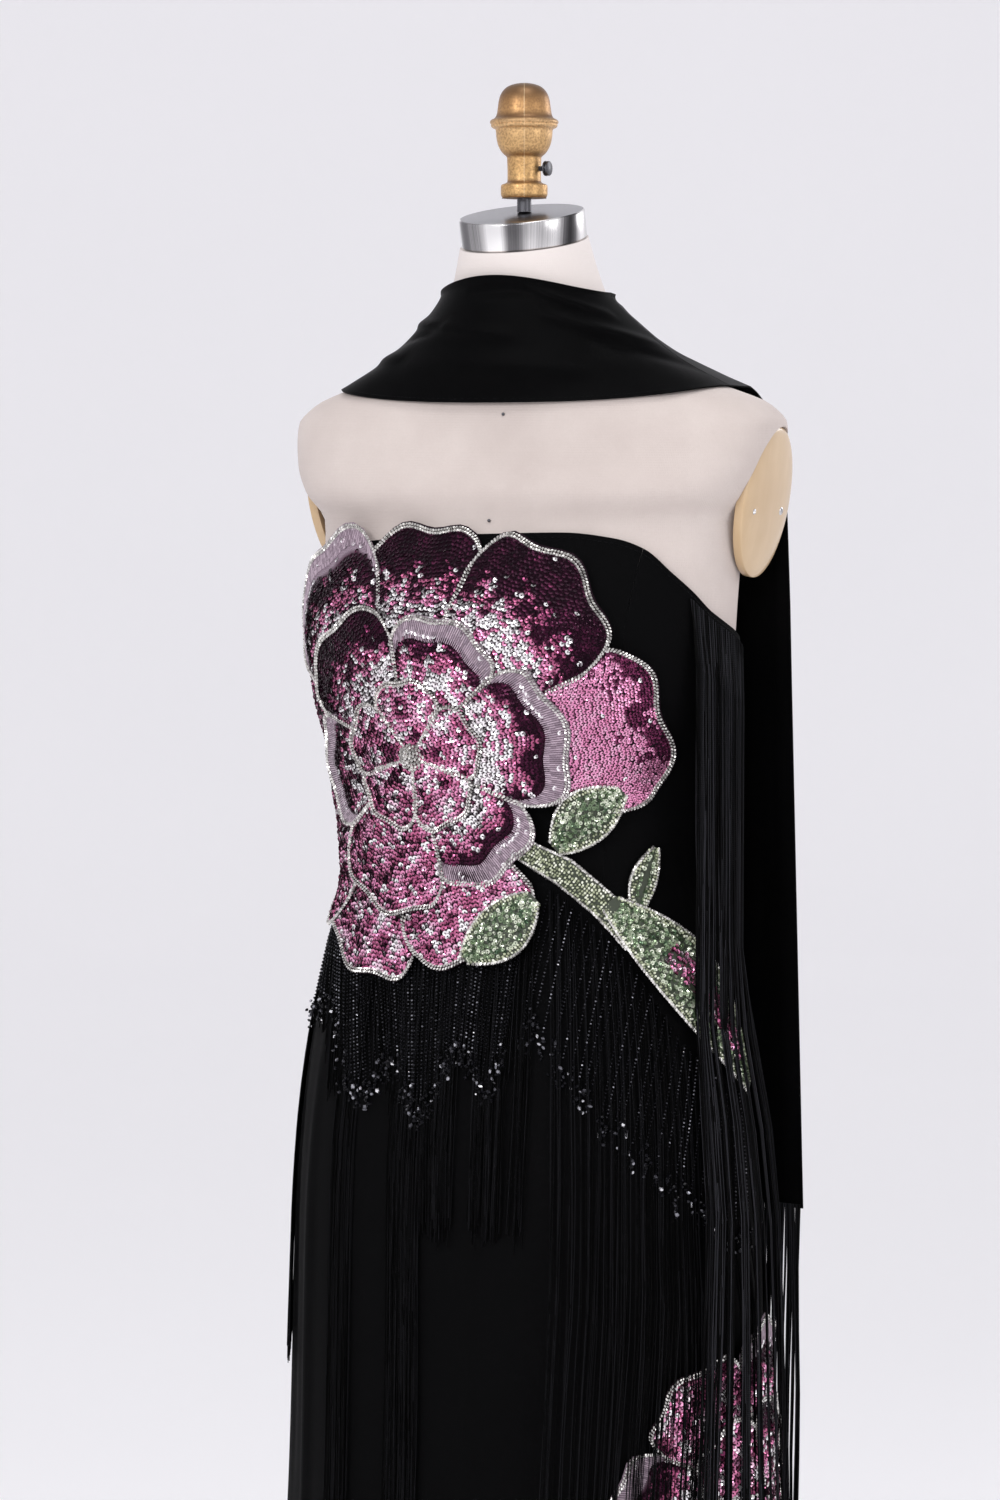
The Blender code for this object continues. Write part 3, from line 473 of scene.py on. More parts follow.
def formTable():
    rows = rowsAt(gownSections, formLevels)
    by = cloth["formClearance"]
    lower = [Section(h, w - by, c, f - by, b - by, n)
             for h, w, c, f, b, n in zip(formLevels, *rows)]
    return lower + formUpperSections


formSections = formTable()


def tilted(points):
    share = np.clip((points[..., 2] - form["tiltStarts"]) / 0.066, 0, 1)
    points[..., 2] += math.tan(form["neckTilt"]) * share * points[..., 1]
    return points


def armMatrix(side):
    x, y, z = armPlate["centre"]
    lean = Matrix.Rotation(side * (math.pi / 2 + armPlate["lean"]), 4, "Y")
    return Matrix.Translation((side * x, y, z)) @ lean


def ovalShape(name, profile):
    # rounds of an oval: profile lists (share of the oval, height) from the underside up
    angles = np.linspace(0, 2 * np.pi, form["sides"], endpoint=False)
    points = [(armPlate["height"] * s * math.cos(a), armPlate["depth"] * s * math.sin(a), z)
              for s, z in profile for a in angles]
    return newObject(name, meshFrom(name, points, tubeFaces(len(profile), form["sides"])))


def makeForm():
    heights = np.concatenate([np.linspace(form["bottom"], 1.33, 60), np.linspace(1.336, 1.531, 54)])
    degrees = np.linspace(-180, 180, form["sides"], endpoint=False)
    points = tilted(sectionPoints(formSections, degrees[None, :], heights[:, None])[0])
    faces = tubeFaces(len(heights), form["sides"])
    torso = newObject("form_cover", meshFrom("form_cover", points.reshape(-1, 3), faces))
    for side in (1, -1):
        cutter = ovalShape("armCutter", [(1.008, 0.0), (1.008, 0.05)])
        cutter.matrix_world = armMatrix(side)
        cutBy(torso, cutter)
    dressed(smoothed(torso, 30), canvas, ["form_torso"])


def placed(obj, matrix):
    obj.data.transform(matrix)
    obj.data.update()
    return obj


def turned(name, profile, sides, angle=30):
    # a round piece from (radius, height) points, listed from the top down
    angles = np.linspace(0, 2 * np.pi, sides, endpoint=False)
    points, rings = [], []
    for radius, height in profile:
        if radius == 0:
            rings.append([len(points)])
            points.append((0, 0, height))
        else:
            rings.append(list(range(len(points), len(points) + sides)))
            points += [(radius * math.cos(a), radius * math.sin(a), height) for a in angles]
    faces = []
    for upper, lower in zip(rings, rings[1:]):
        for k in range(sides):
            j = (k + 1) % sides
            if len(upper) == 1:
                faces.append((upper[0], lower[k], lower[j]))
            elif len(lower) == 1:
                faces.append((upper[k], lower[0], upper[j]))
            else:
                faces.append((upper[k], lower[k], lower[j], upper[j]))
    return smoothed(newObject(name, meshFrom(name, points, faces)), angle)


# Camera, lights and floor
shot = dict(azimuth=26.5, distance=3.35, height=1.38, lookAt=(-0.0175, 1.163), frameHeight=1.093,
            floorReach=9.2, sweep=2.6, wall=10.2)


def makeStudio():
    turn = math.radians(shot["azimuth"])
    right = Vector((math.cos(turn), math.sin(turn), 0))
    back = Vector((math.sin(turn), -math.cos(turn), 0))
    target = right * shot["lookAt"][0] + Vector((0, 0, shot["lookAt"][1]))
    data = bpy.data.cameras.new("photoCamera")
    camera = newObject("photoCamera", data)
    camera.location = back * shot["distance"] + Vector((0, 0, shot["height"]))
    reach = (target - camera.location).length
    camera.rotation_euler = (target - camera.location).to_track_quat("-Z", "Y").to_euler()
    data.sensor_fit = "VERTICAL"
    data.sensor_height = 36
    data.lens = 36 * reach / shot["frameHeight"]
    data.clip_end = 40
    bpy.context.scene.camera = camera
    flat, curve = shot["floorReach"], shot["sweep"]  # a bowl of paper: flat floor, curved sweep, wall
    turns = np.linspace(0, math.pi / 2, 24)
    bend = [(flat + curve * math.sin(a), curve - curve * math.cos(a)) for a in turns]
    floor = turned("studioFloor", [(flat + curve, shot["wall"])] + bend[::-1] + [(0, 0)], 96, 60)
    paper = Finish("studioPaper", Roughness=0.9, Specular_IOR_Level=0.1)
    soft = paper.noise(paper.coords(), 0.6, 2.0)
    paper.surface(Base_Color=paper.mixed(soft, (0.83, 0.822, 0.836), (0.87, 0.862, 0.872)),
                  Emission_Color=(0.98, 0.97, 1.0, 1), Emission_Strength=0.16)
    floor.data.materials.append(paper.material)
    world = bpy.data.worlds.new("studioLight")
    world.use_nodes = True
    world.node_tree.nodes["Background"].inputs[0].default_value = (0.80, 0.80, 0.83, 1)
    world.node_tree.nodes["Background"].inputs[1].default_value = 0.85
    bpy.context.scene.world = world
    for name, sideways, forward, up, size, power in (
            ("keySoftbox", -1.7, 2.3, 2.5, 0.9, 26), ("fillSoftbox", 2.4, 1.8, 1.8, 1.2, 12),
            ("topSoftbox", 0.2, 0.6, 3.6, 1.2, 14), ("sparkle", -0.25, 3.0, 2.3, 0.16, 12),
            ("rimRight", 1.9, -1.3, 2.0, 0.8, 10)):
        light = bpy.data.lights.new(name, "AREA")
        light.shape, light.size, light.energy = "SQUARE", size, power
        lamp = newObject(name, light)
        lamp.location = right * sideways + back * forward + Vector((0, 0, up))
        lamp.rotation_euler = (Vector((0, 0, 1.15)) - lamp.location).to_track_quat("-Z", "Y").to_euler()


# Sequins, beads, cords, zip teeth and stitches are all set on points by one node tree

def setOnPointsTree():
    group = bpy.data.node_groups.new("setOnPoints", "GeometryNodeTree")
    for name, kind in (("Geometry", "Geometry"), ("Shape", "Object"), ("Size", "Float"),
                       ("Size change", "Float"), ("Lean", "Float"), ("Seed", "Int"), ("Finish", "Material")):
        group.interface.new_socket(name, in_out="INPUT", socket_type="NodeSocket" + kind)
    group.interface.new_socket("Geometry", in_out="OUTPUT", socket_type="NodeSocketGeometry")
    tree = Tree(group)
    given = tree.nodes.new("NodeGroupInput")
    points, shape, size, change, lean, seed, finish = [Wire(tree, s) for s in given.outputs[:7]]

    def stored(name, kind):
        return tree.node("GeometryNodeInputNamedAttribute", {"data_type": kind}, {"Name": name})

    onPoints = tree.node("GeometryNodeMeshToPoints", {}, {"Mesh": points})
    facing = tree.node("FunctionNodeAlignRotationToVector", {"axis": "Z"},
                       {"Vector": stored("facing", "FLOAT_VECTOR")})
    turned = tree.node("FunctionNodeAlignRotationToVector", {"axis": "X", "pivot_axis": "Z"},
                       {"Rotation": facing, "Vector": stored("along", "FLOAT_VECTOR")})
    spread = tree.node("FunctionNodeRandomValue", {"data_type": "FLOAT_VECTOR"},
                       {0: (-1, -1, -1), 1: (1, 1, 1), "Seed": seed})
    tip = tree.node("ShaderNodeVectorMath", {"operation": "SCALE"}, {0: spread, "Scale": lean})
    tip = tree.node("FunctionNodeEulerToRotation", {}, {0: tip})
    leaning = tree.node("FunctionNodeRotateRotation", {"rotation_space": "LOCAL"}, {0: turned, 1: tip})
    chance = tree.node("FunctionNodeRandomValue", {"data_type": "FLOAT"}, {2: -1.0, 3: 1.0, "Seed": seed},
                       output=1)
    scale = size * stored("size", "FLOAT") * (1 + change * chance)
    body = tree.node("GeometryNodeObjectInfo", {"transform_space": "ORIGINAL"}, {"Object": shape},
                     output="Geometry")
    copies = tree.node("GeometryNodeInstanceOnPoints", {},
                       {"Points": onPoints, "Instance": body, "Rotation": leaning, "Scale": scale})
    whole = tree.node("GeometryNodeRealizeInstances", {}, {0: copies})
    whole = tree.node("GeometryNodeSetMaterial", {}, {"Geometry": whole, "Material": finish})
    tree.join(whole, tree.nodes.new("NodeGroupOutput").inputs[0])
    return group


def setOnPoints(name, cloud, shape, material, size, lean, seed, change=0.06):
    # cloud: points, the way each faces, the way each lies, its size and its tint
    columns = [np.concatenate([np.asarray(c[k], float) for c in cloud]) for k in range(5)]
    mesh = meshFrom(name, columns[0], [])
    for key, values in zip(("facing", "along", "size", "tint"), columns[1:]):
        kind, field = ("FLOAT_VECTOR", "vector") if values.ndim == 2 else ("FLOAT", "value")
        flat = np.ascontiguousarray(values, np.float32).ravel()
        mesh.attributes.new(key, kind, "POINT").data.foreach_set(field, flat)
    obj = newObject(name, mesh)
    modifier = obj.modifiers.new("set", "NODES")
    modifier.node_group = pointsTree
    values = {"Shape": shape, "Size": size, "Size change": change, "Lean": lean, "Seed": seed,
              "Finish": material}
    for item in pointsTree.interface.items_tree:
        if item.in_out == "INPUT" and item.name in values:
            modifier[item.identifier] = values[item.name]
    applied(obj)
    for key in ("facing", "along", "size"):
        if key in obj.data.attributes:
            obj.data.attributes.remove(obj.data.attributes[key])
    triangles = sum(len(p.vertices) - 2 for p in obj.data.polygons)
    print(f"{name}: {len(columns[0])} set, {triangles} triangles")
    return dressed(obj, material)


def ringShape(name, rings, sides, smooth=False, across=False):
    # a pattern for the node tree, taken out of the scene at the end: rings lists (radius, height)
    # from the lower side up, all joined in one strip, or laid along x with its ends closed
    angles = np.linspace(0, 2 * np.pi, sides, endpoint=False)
    points = [(r * math.cos(a), r * math.sin(a), z) for r, z in rings for a in angles]
    if across:
        points = [(z, x, y) for x, y, z in points]
        faces = tubeFaces(len(rings), sides)
    else:
        faces = gridFaces(len(rings), sides, closed=True)
    obj = newObject(name, meshFrom(name, points, faces))
    if smooth:
        obj.data.shade_smooth()
    obj.hide_render = True
    patterns.append(obj)
    return obj


def onePoint(points, facing, along, size=1.0, tint=0.5):
    # columns of one set, with the same size and tint for all where one number is given
    count = len(points)
    return (points, facing, along, np.broadcast_to(size, count), np.broadcast_to(tint, count))


def unit(vectors):
    return vectors / np.maximum(np.linalg.norm(vectors, axis=-1, keepdims=True), 1e-9)


# The bloom: a dictionary for each flower, its petals alternately over and under their neighbours
Petal = namedtuple("Petal", "direction inner reach halfAngle layer style")
netStyles = ("netTip", "plumNet")
bloom = dict(
    arc=-0.033, height=1.163, layerGap=0.0020, layerStep=0.0018, tipLift=0.0026, dome=0.0028, cup=0.0016,
    overBy=0.0017, tipRounding=0.17, tipWave=0.028, thickness=0.0007, sequin=0.0034, rowGap=0.0026,
    pitch=0.0031, tilt=0.14, calm=0.05, loose=0.24, looseSpread=1.2, sequinLift=0.0004, margin=0.003,
    # the clumps here and the glint rates two lines down set how often sequins are painted white as glints
    glintClumps=dict(plumTip=0.70, netTip=0.70, plumNet=0.70, magenta=0.50, mottled=0.40),
    rowsTo=0.975, acrossTo=0.955, alongJitter=0.0022, acrossJitter=0.006, speckle=0.36, tintChange=0.035,
    dark=0.3, flareDark=0.006, flarePink=0.004, flareLoose=0.03, glintClumpAbove=0.42,
    netFrom=0.835, netWave=0.03, netMissing=0.07, whiteFrom=0.84,
    outlineRows=2, outlineBead=0.0023, outlineGap=0.0024, outlineStep=0.0022, outlineLift=0.0014,
    outlineMargin=0.0035, ribGap=0.0018, ribLift=0.0011, ribLength=0.0044,
    ribRounds=(-0.0140, -0.0100, -0.0060, -0.0020), centreBeads=60, centreGap=0.0013, centreLift=0.0150,
    centreFall=0.0035,
    outer=[(92, 0.166, "plumTip"), (50, 0.180, "plumTip"), (9, 0.188, "pink"), (-72, 0.152, "magenta"),
           (-113, 0.168, "mottled"), (-151, 0.182, "magenta"), (171, 0.184, "mottled"),
           (131, 0.186, "plumNet")],
    middle=["netTip", "plumTip", "netTip", "magenta", "netTip", "plumNet"],
)
# the lower bloom has fewer clumps of painted glints
skirtBloom = dict(bloom, arc=0.245, height=0.636, outerReach=0.124, innerReach=0.070,
                  glintClumps=dict(plumTip=0.10, netTip=0.10, plumNet=0.10, magenta=0.12, mottled=0.14))


def petalLift(flower, petal, along, across):
    base = flower["layerGap"] + petal.layer * flower["layerStep"]
    hangsFringe = petal.layer <= 1 and petal.direction < -40
    lift = flower["tipLift"] * np.minimum(along / 0.6, 1) if hangsFringe else 0
    flat = 0.35 if abs(petal.direction) > 100 else 1.0  # petals that turn round the side lie flatter
    dome = flat * flower["dome"] * (1 - across**2) * np.sin(np.pi * np.clip(along, 0, 1)) ** 0.8
    ripple = 0.0007 * np.sin(across * 7 + petal.direction) * along
    cup = flower["cup"] * np.clip((along - 0.8) / 0.2, 0, 1) ** 2
    return base + lift + dome + ripple + cup


def tipShare(flower, petal, across):
    # how far the tip reaches at each place across: rounded corners and a slow wave
    wave = np.cos(2.6 * np.pi * across + petal.direction)
    corner = 0.16 * np.clip((np.abs(across) - 0.72) / 0.28, 0, 1) ** 2
    return 1 - flower["tipRounding"] * np.abs(across) ** 2.6 + flower["tipWave"] * wave - corner


def petalPlace(flower, petal, along, across):
    angle = np.radians(petal.direction + across * petal.halfAngle)
    reach = petal.inner + (petal.reach - petal.inner) * along * tipShare(flower, petal, across)
    return flower["arc"] + reach * np.cos(angle), flower["height"] + reach * np.sin(angle)


def petalPoints(flower, petal, along, across, out=0.0):
    along, across = np.broadcast_arrays(np.asarray(along, float), np.asarray(across, float))
    arcs, heights = petalPlace(flower, petal, along, across)
    return onGown(arcs, heights, petalLift(flower, petal, along, across) + out)


def surfaceFrames(surface, along, across, out):
    # points on a surface, the way each faces, and the ways along it and across it
    step = 0.02
    points = surface(along, across, out)
    ahead = unit(surface(along + step, across, out) - surface(along - step, across, out))
    aside = unit(surface(along, across + step, out) - surface(along, across - step, out))
    facing = unit(np.cross(aside, ahead))
    facing *= np.where((facing * points * [1, 1, 0]).sum(-1, keepdims=True) < 0, -1, 1)
    return points, facing, ahead, aside


def covers(flower, petal, arcs, heights, margin):
    # where a petal hides what lies under it, drawn in by the margin
    dx, dy = arcs - flower["arc"], heights - flower["height"]
    reach = np.hypot(dx, dy)
    turn = (np.degrees(np.arctan2(dy, dx)) - petal.direction + 180) % 360 - 180
    across = turn / petal.halfAngle
    tip = tipShare(flower, petal, across)
    side = (petal.halfAngle - np.abs(turn)) * np.pi / 180 * reach
    edge = petal.inner + (petal.reach - petal.inner) * tip
    return (side > margin) & (reach < edge - margin) & (reach > petal.inner)


def uncovered(flower, above, arcs, heights, margin):
    # which of these places no petal above hides
    seen = np.ones(len(arcs), bool)
    for other in above:
        seen &= ~covers(flower, other, arcs, heights, margin)
    return seen


def petalTint(style, along, across, speckle):
    # 0 is near-black plum, 0.5 magenta, 0.8 pink and 1 white, a painted glint
    ragged = along + speckle * 0.12
    if style == "pink":
        tint = 0.76 + 0.04 * speckle - 0.5 * (ragged > 0.86) * (across > -0.4)
    elif style == "magenta":
        tint = 0.66 + 0.17 * speckle
    elif style == "mottled":
        tint = 0.70 + 0.28 * speckle - 0.18 * (ragged < 0.30)
    else:
        # upper petals: near-black plum tips, the sequins' plum darkened by painted shade where they face away
        # from the light; then magenta; then a band mostly of white painted glints; pink at the root
        tint = np.select([ragged > 0.70, ragged > 0.58, ragged > 0.33],
                         [0.07 + 0.10 * speckle, 0.54 + 0.16 * speckle, np.where(speckle > -0.4, 1.0, 0.70)],
                         0.68 + 0.20 * speckle)
    return tint


def sequinRows(flower, petal, spread):
    # along and across of sequins in staggered rows over a whole petal
    length = petal.reach - petal.inner
    rows = int(length / flower["rowGap"] / spread)
    alongs, acrosses = [], []
    for k in range(rows):
        along = (k + 0.5) / rows * flower["rowsTo"]
        width = 2 * math.radians(petal.halfAngle) * (petal.inner + length * along)
        count = max(int(width / flower["pitch"] / spread), 1)
        spot = (np.arange(count) + 0.25 + 0.5 * (k % 2)) / count
        acrosses.append((spot * 2 - 1) * flower["acrossTo"])
        alongs.append(np.full(count, along))
    along, across = np.concatenate(alongs), np.concatenate(acrosses)
    along = along + rng.normal(0, flower["alongJitter"], len(along))
    return along, across + rng.normal(0, flower["acrossJitter"], len(across))


def coatPetal(flower, petal, above, sets):
    # sequins over the petal, cords in their place on a net band, and the outline's beads
    hasNet, isPink = petal.style in netStyles, petal.style == "pink"
    surface = partial(petalPoints, flower, petal)
    spread = 1.0 if isPink else flower["looseSpread"]
    along, across = sequinRows(flower, petal, spread)
    arcs, heights = petalPlace(flower, petal, along, across)
    seen = uncovered(flower, above, arcs, heights, flower["margin"])
    along, across, arcs, heights = along[seen], across[seen], arcs[seen], heights[seen]
    speckle = np.sin(arcs * 210 + 3) * np.sin(heights * 170 + petal.direction)
    speckle = speckle + rng.normal(0, flower["speckle"], len(along))
    isNet = np.zeros(len(along), bool)
    if hasNet:
        netFrom = flower["netFrom"] + flower["netWave"] * np.sin(across * 4)
        isNet = (along > netFrom) & (rng.random(len(along)) > flower["netMissing"])
    tint = petalTint(petal.style, along, across, np.clip(speckle, -1.3, 1.3))
    # painted glints: sequins painted white at random, more often where the clump wave runs high and seldom on
    # dark or pink ones; on a net petal every sequin out towards the tip that is not net is white too
    glintClumpWave = np.sin(arcs * 330 + 1.3 * petal.direction) * np.sin(heights * 290 + arcs * 90)
    often = flower["flareLoose"] + (glintClumpWave > flower["glintClumpAbove"]) * flower["glintClumps"].get(petal.style, 0)
    often = flower["flarePink"] if isPink else often
    flare = rng.random(len(along)) < np.where(tint < flower["dark"], flower["flareDark"], often)
    white = flare | (~isNet & (along > flower["whiteFrom"]) & hasNet)
    tint = np.where(white, 1.0, tint + rng.normal(0, flower["tintChange"], len(along)))
    points, facing, ahead, aside = surfaceFrames(surface, along, across,
                                                 flower["thickness"] + flower["sequinLift"])
    loose = np.where((tint < flower["dark"]) | isPink, flower["calm"], flower["loose"])[:, None]
    tipped = unit(facing + ahead * flower["tilt"] + rng.normal(0, 1, facing.shape) * loose)
    kept = ~isNet
    sets["sequins"].append(onePoint(points[kept], tipped[kept], aside[kept], spread,
                                    np.clip(tint[kept], 0, 1)))
    if isNet.any():
        layRibs(flower, petal, surface, above, sets["bugles"])
    layOutline(flower, petal, surface, above, sets["outline"])


def layRibs(flower, petal, surface, above, ribs):
    # cords side by side on the net band
    around = 2 * math.radians(petal.halfAngle) * petal.reach
    across = np.linspace(-0.93, 0.93, int(around / flower["ribGap"]))
    for step in flower["ribRounds"]:
        along = np.full(len(across), 0.985 + step / (petal.reach - petal.inner))
        points, facing, ahead = surfaceFrames(surface, along, across, flower["ribLift"])[:3]
        arcs, heights = petalPlace(flower, petal, along, across)
        seen = uncovered(flower, above, arcs, heights, flower["margin"])
        ribs.append(onePoint(points[seen], facing[seen], ahead[seen], 1.0, rng.random(seen.sum())))


def layOutline(flower, petal, surface, above, beads):
    # rounds of slanting beads along the petal's edge, each a step inside the last
    along, across = outlineOf(flower, petal)
    arcs, heights = petalPlace(flower, petal, along, across)
    seen = uncovered(flower, above, arcs, heights, flower["outlineMargin"])
    halfWidth = math.radians(petal.halfAngle) * petal.reach * 0.8
    for row in range(flower["outlineRows"]):
        inward = 1 - row * flower["outlineStep"] / (petal.reach - petal.inner)
        sideways = 1 - row * flower["outlineStep"] / halfWidth
        points, facing = surfaceFrames(surface, along * inward, across * sideways, flower["outlineLift"])[:2]
        way = unit(np.roll(points, -1, 0) - points)
        slant = unit(way + np.cross(facing, way) * 0.8)
        beads.append(onePoint(points[seen], facing[seen], slant[seen], 1.0, rng.random(seen.sum())))


def outlineOf(flower, petal):
    # along and across of beads an even gap apart round a petal's edge, from one root to the other
    path = np.concatenate([
        np.stack([np.linspace(0.05, 0.97, 60), np.full(60, -0.985)], 1),
        np.stack([np.full(80, 0.985), np.linspace(-0.97, 0.97, 80)], 1),
        np.stack([np.linspace(0.97, 0.05, 60), np.full(60, 0.985)], 1)])
    arcs, heights = petalPlace(flower, petal, path[:, 0], path[:, 1])
    lengths = lengthsAlong(np.stack([arcs, heights], 1))
    stations = np.arange(0, lengths[-1], flower["outlineGap"])
    return np.interp(stations, lengths, path[:, 0]), np.interp(stations, lengths, path[:, 1])


def petalCloth(name, flower, petal, node):
    along = np.linspace(0, 1, 20)[:, None]
    across = np.linspace(-1, 1, 21)[None, :]
    obj = clothPiece(name, petalPoints(flower, petal, along, across), flower["thickness"], petalNet,
                     node)
    netFrom = 0.82 if petal.style in netStyles else 2
    isNet = (along + 0 * across > netFrom).astype(np.float32)
    layer = obj.data.attributes.new("tint", "FLOAT", "POINT")
    layer.data.foreach_set("value", np.resize(isNet.ravel(), len(obj.data.vertices)))


def bloomPetals():
    outer, middle = [], []
    for i, (direction, reach, style) in enumerate(bloom["outer"]):
        over = i % 2
        layer = (0 if direction < -40 else 0.3) + over * bloom["overBy"] / bloom["layerStep"]
        outer.append(Petal(direction, 0.050, reach, 25.5 if over else 24, layer, style))
    for i, style in enumerate(bloom["middle"]):
        over = i % 2
        middle.append(Petal(70 + 60 * i, 0.022, (0.104, 0.117)[over], 33 if over else 31, 2.75 + over * 0.8,
                            style))
    heart = [Petal(90 + 72 * i, 0.004, 0.056, 39, 4.3 + 0.35 * (i % 2), "mottled") for i in range(5)]
    return outer, middle, heart


def skirtPetals():
    outer, inner = [], []
    for i in range(7):
        reach = skirtBloom["outerReach"] - 0.006 * (i % 2)
        style = ("plumNet", "mottled", "plumNet")[i % 3]
        outer.append(Petal(80 + i * 360 / 7, 0.016, reach, 27.5, 1.5 + 0.75 * (i % 2), style))
    for i in range(5):
        style = ("plumTip", "mottled")[i % 2]
        inner.append(Petal(70 + i * 72, 0.004, skirtBloom["innerReach"], 38, 2.95 + 0.4 * (i % 2), style))
    return outer, inner


def makeRound(flower, petals, above, label, node, sets, apart=0):
    # one round of petals, each coated where neither its higher neighbours nor the rounds above hide it
    for i, petal in enumerate(petals):
        petalCloth(f"{label}{i + 1}", flower, petal, node.format(i + 1))
        higher = [other for other in petals if other.layer > petal.layer + apart]
        coatPetal(flower, petal, above + higher, sets)


def setRounds(name, sets, seeds, sequinChange=0.06, outlineChange=0.06):
    # what makeRound gathered, in three pieces
    setOnPoints(name + "Sequins", sets["sequins"], sequinShape, sequinFinish,
                size=bloom["sequin"] / 2, change=sequinChange, lean=0.03, seed=seeds[0])
    setOnPoints(name + "Ribs", sets["bugles"], bugleShape, netRib,
                size=bloom["ribLength"], change=0.05, lean=0.05, seed=seeds[1])
    setOnPoints(name + "Outlines", sets["outline"], ropeShape, silverBeads,
                size=bloom["outlineBead"] / 2, change=outlineChange, lean=0.12, seed=seeds[2])


def centreBeads():
    # beads in a spiral over the bloom's centre, each a golden angle on from the last
    number = np.arange(bloom["centreBeads"])
    turn, reach = number * 2.39996, bloom["centreGap"] * np.sqrt(number + 0.5)
    lift = bloom["centreLift"] - bloom["centreFall"] * (reach / reach[-1]) ** 2
    heights = bloom["height"] + reach * np.sin(turn)
    degrees = degreesAtArc(bloom["arc"] + reach * np.cos(turn), heights)
    points, facing = gownPoints(degrees, heights, lift)
    return onePoint(points, facing, np.roll(facing, 1, 1), 1.1, rng.random(len(points)))


def makeBloom():
    outer, middle, heart = bloomPetals()
    sets = dict(sequins=[], bugles=[], outline=[])
    makeRound(bloom, outer, middle, "outerPetalCloth", "outer_petal_{}", sets, 0.4)
    makeRound(bloom, middle, heart, "middlePetalCloth", "middle_petal_{}", sets)
    makeRound(bloom, heart, [], "heartPetalCloth", "flower_heart", sets)
    sets["outline"].append(centreBeads())
    setRounds("bloom", sets, (3, 5, 4), 0.05, 0.08)


def makeSkirtBloom():
    outer, inner = skirtPetals()
    sets = dict(sequins=[], bugles=[], outline=[])
    makeRound(skirtBloom, outer, inner, "skirtPetalCloth1", "skirt_flower_layer_1", sets)
    makeRound(skirtBloom, inner, [], "skirtPetalCloth2", "skirt_flower_layer_2", sets)
    setRounds("skirt", sets, (8, 10, 9))


def makeSequinFinish():
    # foil discs: colour by tint, a little oil-film shift and tiny scratches
    f = Finish("plum_sequin", Specular_IOR_Level=0.15)
    tint = f.attribute("tint")
    # tint 0 is near-black plum, painted shade on sequins turned away from the light; tint near 1 is near
    # white, a painted glint
    colour = f.ramp(tint, (0.0, (0.010, 0.0018, 0.0065)), (0.18, (0.046, 0.008, 0.026)),
                    (0.38, (0.22, 0.042, 0.115)), (0.56, (0.53, 0.145, 0.275)), (0.76, (0.85, 0.335, 0.560)),
                    (0.88, (0.94, 0.58, 0.75)), (0.95, (1.0, 0.90, 0.95)), (1.0, (1.0, 0.98, 0.99)))
    under = ((f.attribute("rise") + 0.02) * -2.6).clamped()  # in the shade of the next row's edge
    colour = f.mixed(under * (1.15 - tint * 0.4), colour, (0.012, 0.002, 0.007))
    place = f.coords()
    film = f.noise(place, 120, 2.0)
    shifted = f.mixed(film * 0.14, colour, (0.60, 0.20, 0.42), "SOFT_LIGHT")
    scratch = f.noise(place, 900, 2.0)
    return f.surface(Base_Color=shifted, Metallic=tint * 0.18 + 0.62, Roughness=scratch * 0.12 + 0.14,
                     Normal=f.bump(scratch, 0.12, 0.0003))


def makeGreenFinish(name, dark, middle, light, rough=0.22, metal=0.0):
    # the tint runs from dark to light at random from piece to piece: the lightest green sequins are painted
    # glints, and the light pale beads are partly their own pale colour, partly painted glints
    f = Finish(name, Specular_IOR_Level=0.6, IOR=1.5)
    tint = f.attribute("tint")
    cloud = f.noise(f.coords(), 160, 2.0)
    tone = f.ramp(tint * 0.85 + cloud * 0.15, (0.08, dark), (0.50, middle), (0.92, light))
    return f.surface(Base_Color=tone, Metallic=tint * 0.05 + metal, Roughness=cloud * 0.1 + rough - 0.05)


def makeSilverBeads():
    # silver-lined glass: bright core, grey in the shade
    f = Finish("silver_bead", Specular_IOR_Level=0.7)
    tint = f.attribute("tint")
    cloud = f.noise(f.coords(), 260, 2.0)
    tone = f.mixed(tint * 0.8 + cloud * 0.2, (0.20, 0.19, 0.18), (1.0, 0.98, 0.94))
    return f.surface(Base_Color=tone, Metallic=tint * 0.2 + 0.7, Roughness=cloud * 0.12 + 0.12)


def makeBlackBeads():
    # jet glass; the light tints make a few beads silvery, painted glints on the black strings, with a metal
    # sheen that catches the lamps as well
    f = Finish("black_bead", Specular_IOR_Level=0.12)
    tint = f.attribute("tint")
    cloud = f.noise(f.coords(), 300, 2.0)
    tone = f.ramp(tint, (0.0, (0.003, 0.003, 0.004)), (0.50, (0.007, 0.007, 0.009)),
                  (0.70, (0.07, 0.07, 0.08)), (0.84, (0.36, 0.36, 0.40)), (1.0, (0.95, 0.94, 0.97)))
    return f.surface(Base_Color=tone, Metallic=tint * 0.8, Roughness=cloud * 0.1 + 0.10)


def makePetalNet():
    # sheer lilac tulle over black, seen where no sequins lie
    f = Finish("petal_net", Specular_IOR_Level=0.08, Sheen_Weight=0.02)
    place = f.coords("UV")
    x, y = f.xyz(place)[:2]
    holes = (x * 2600).sin() * (y * 2600).sin()
    tint = f.attribute("tint")
    tone = f.ramp(tint, (0.0, (0.010, 0.003, 0.007)), (0.5, (0.06, 0.022, 0.042)),
                  (0.9, (0.20, 0.15, 0.185)), (1.0, (0.27, 0.205, 0.25)))
    tone = f.mixed(holes.above(0.25) * tint * 0.4, tone, (0.10, 0.075, 0.09))
    return f.surface(Base_Color=tone, Roughness=0.6, Normal=f.bump(holes, 0.3, 0.0003))


def makeNetRib():
    # lilac cord that lies side by side on the net bands
    f = Finish("net_rib", Specular_IOR_Level=0.35, Sheen_Weight=0.2)
    tint = f.attribute("tint")
    cloud = f.noise(f.coords(), 300, 2.0)
    tone = f.mixed(tint * 0.8 + cloud * 0.2, (0.20, 0.145, 0.185), (0.56, 0.44, 0.52))
    return f.surface(Base_Color=tone, Roughness=cloud * 0.2 + 0.35)


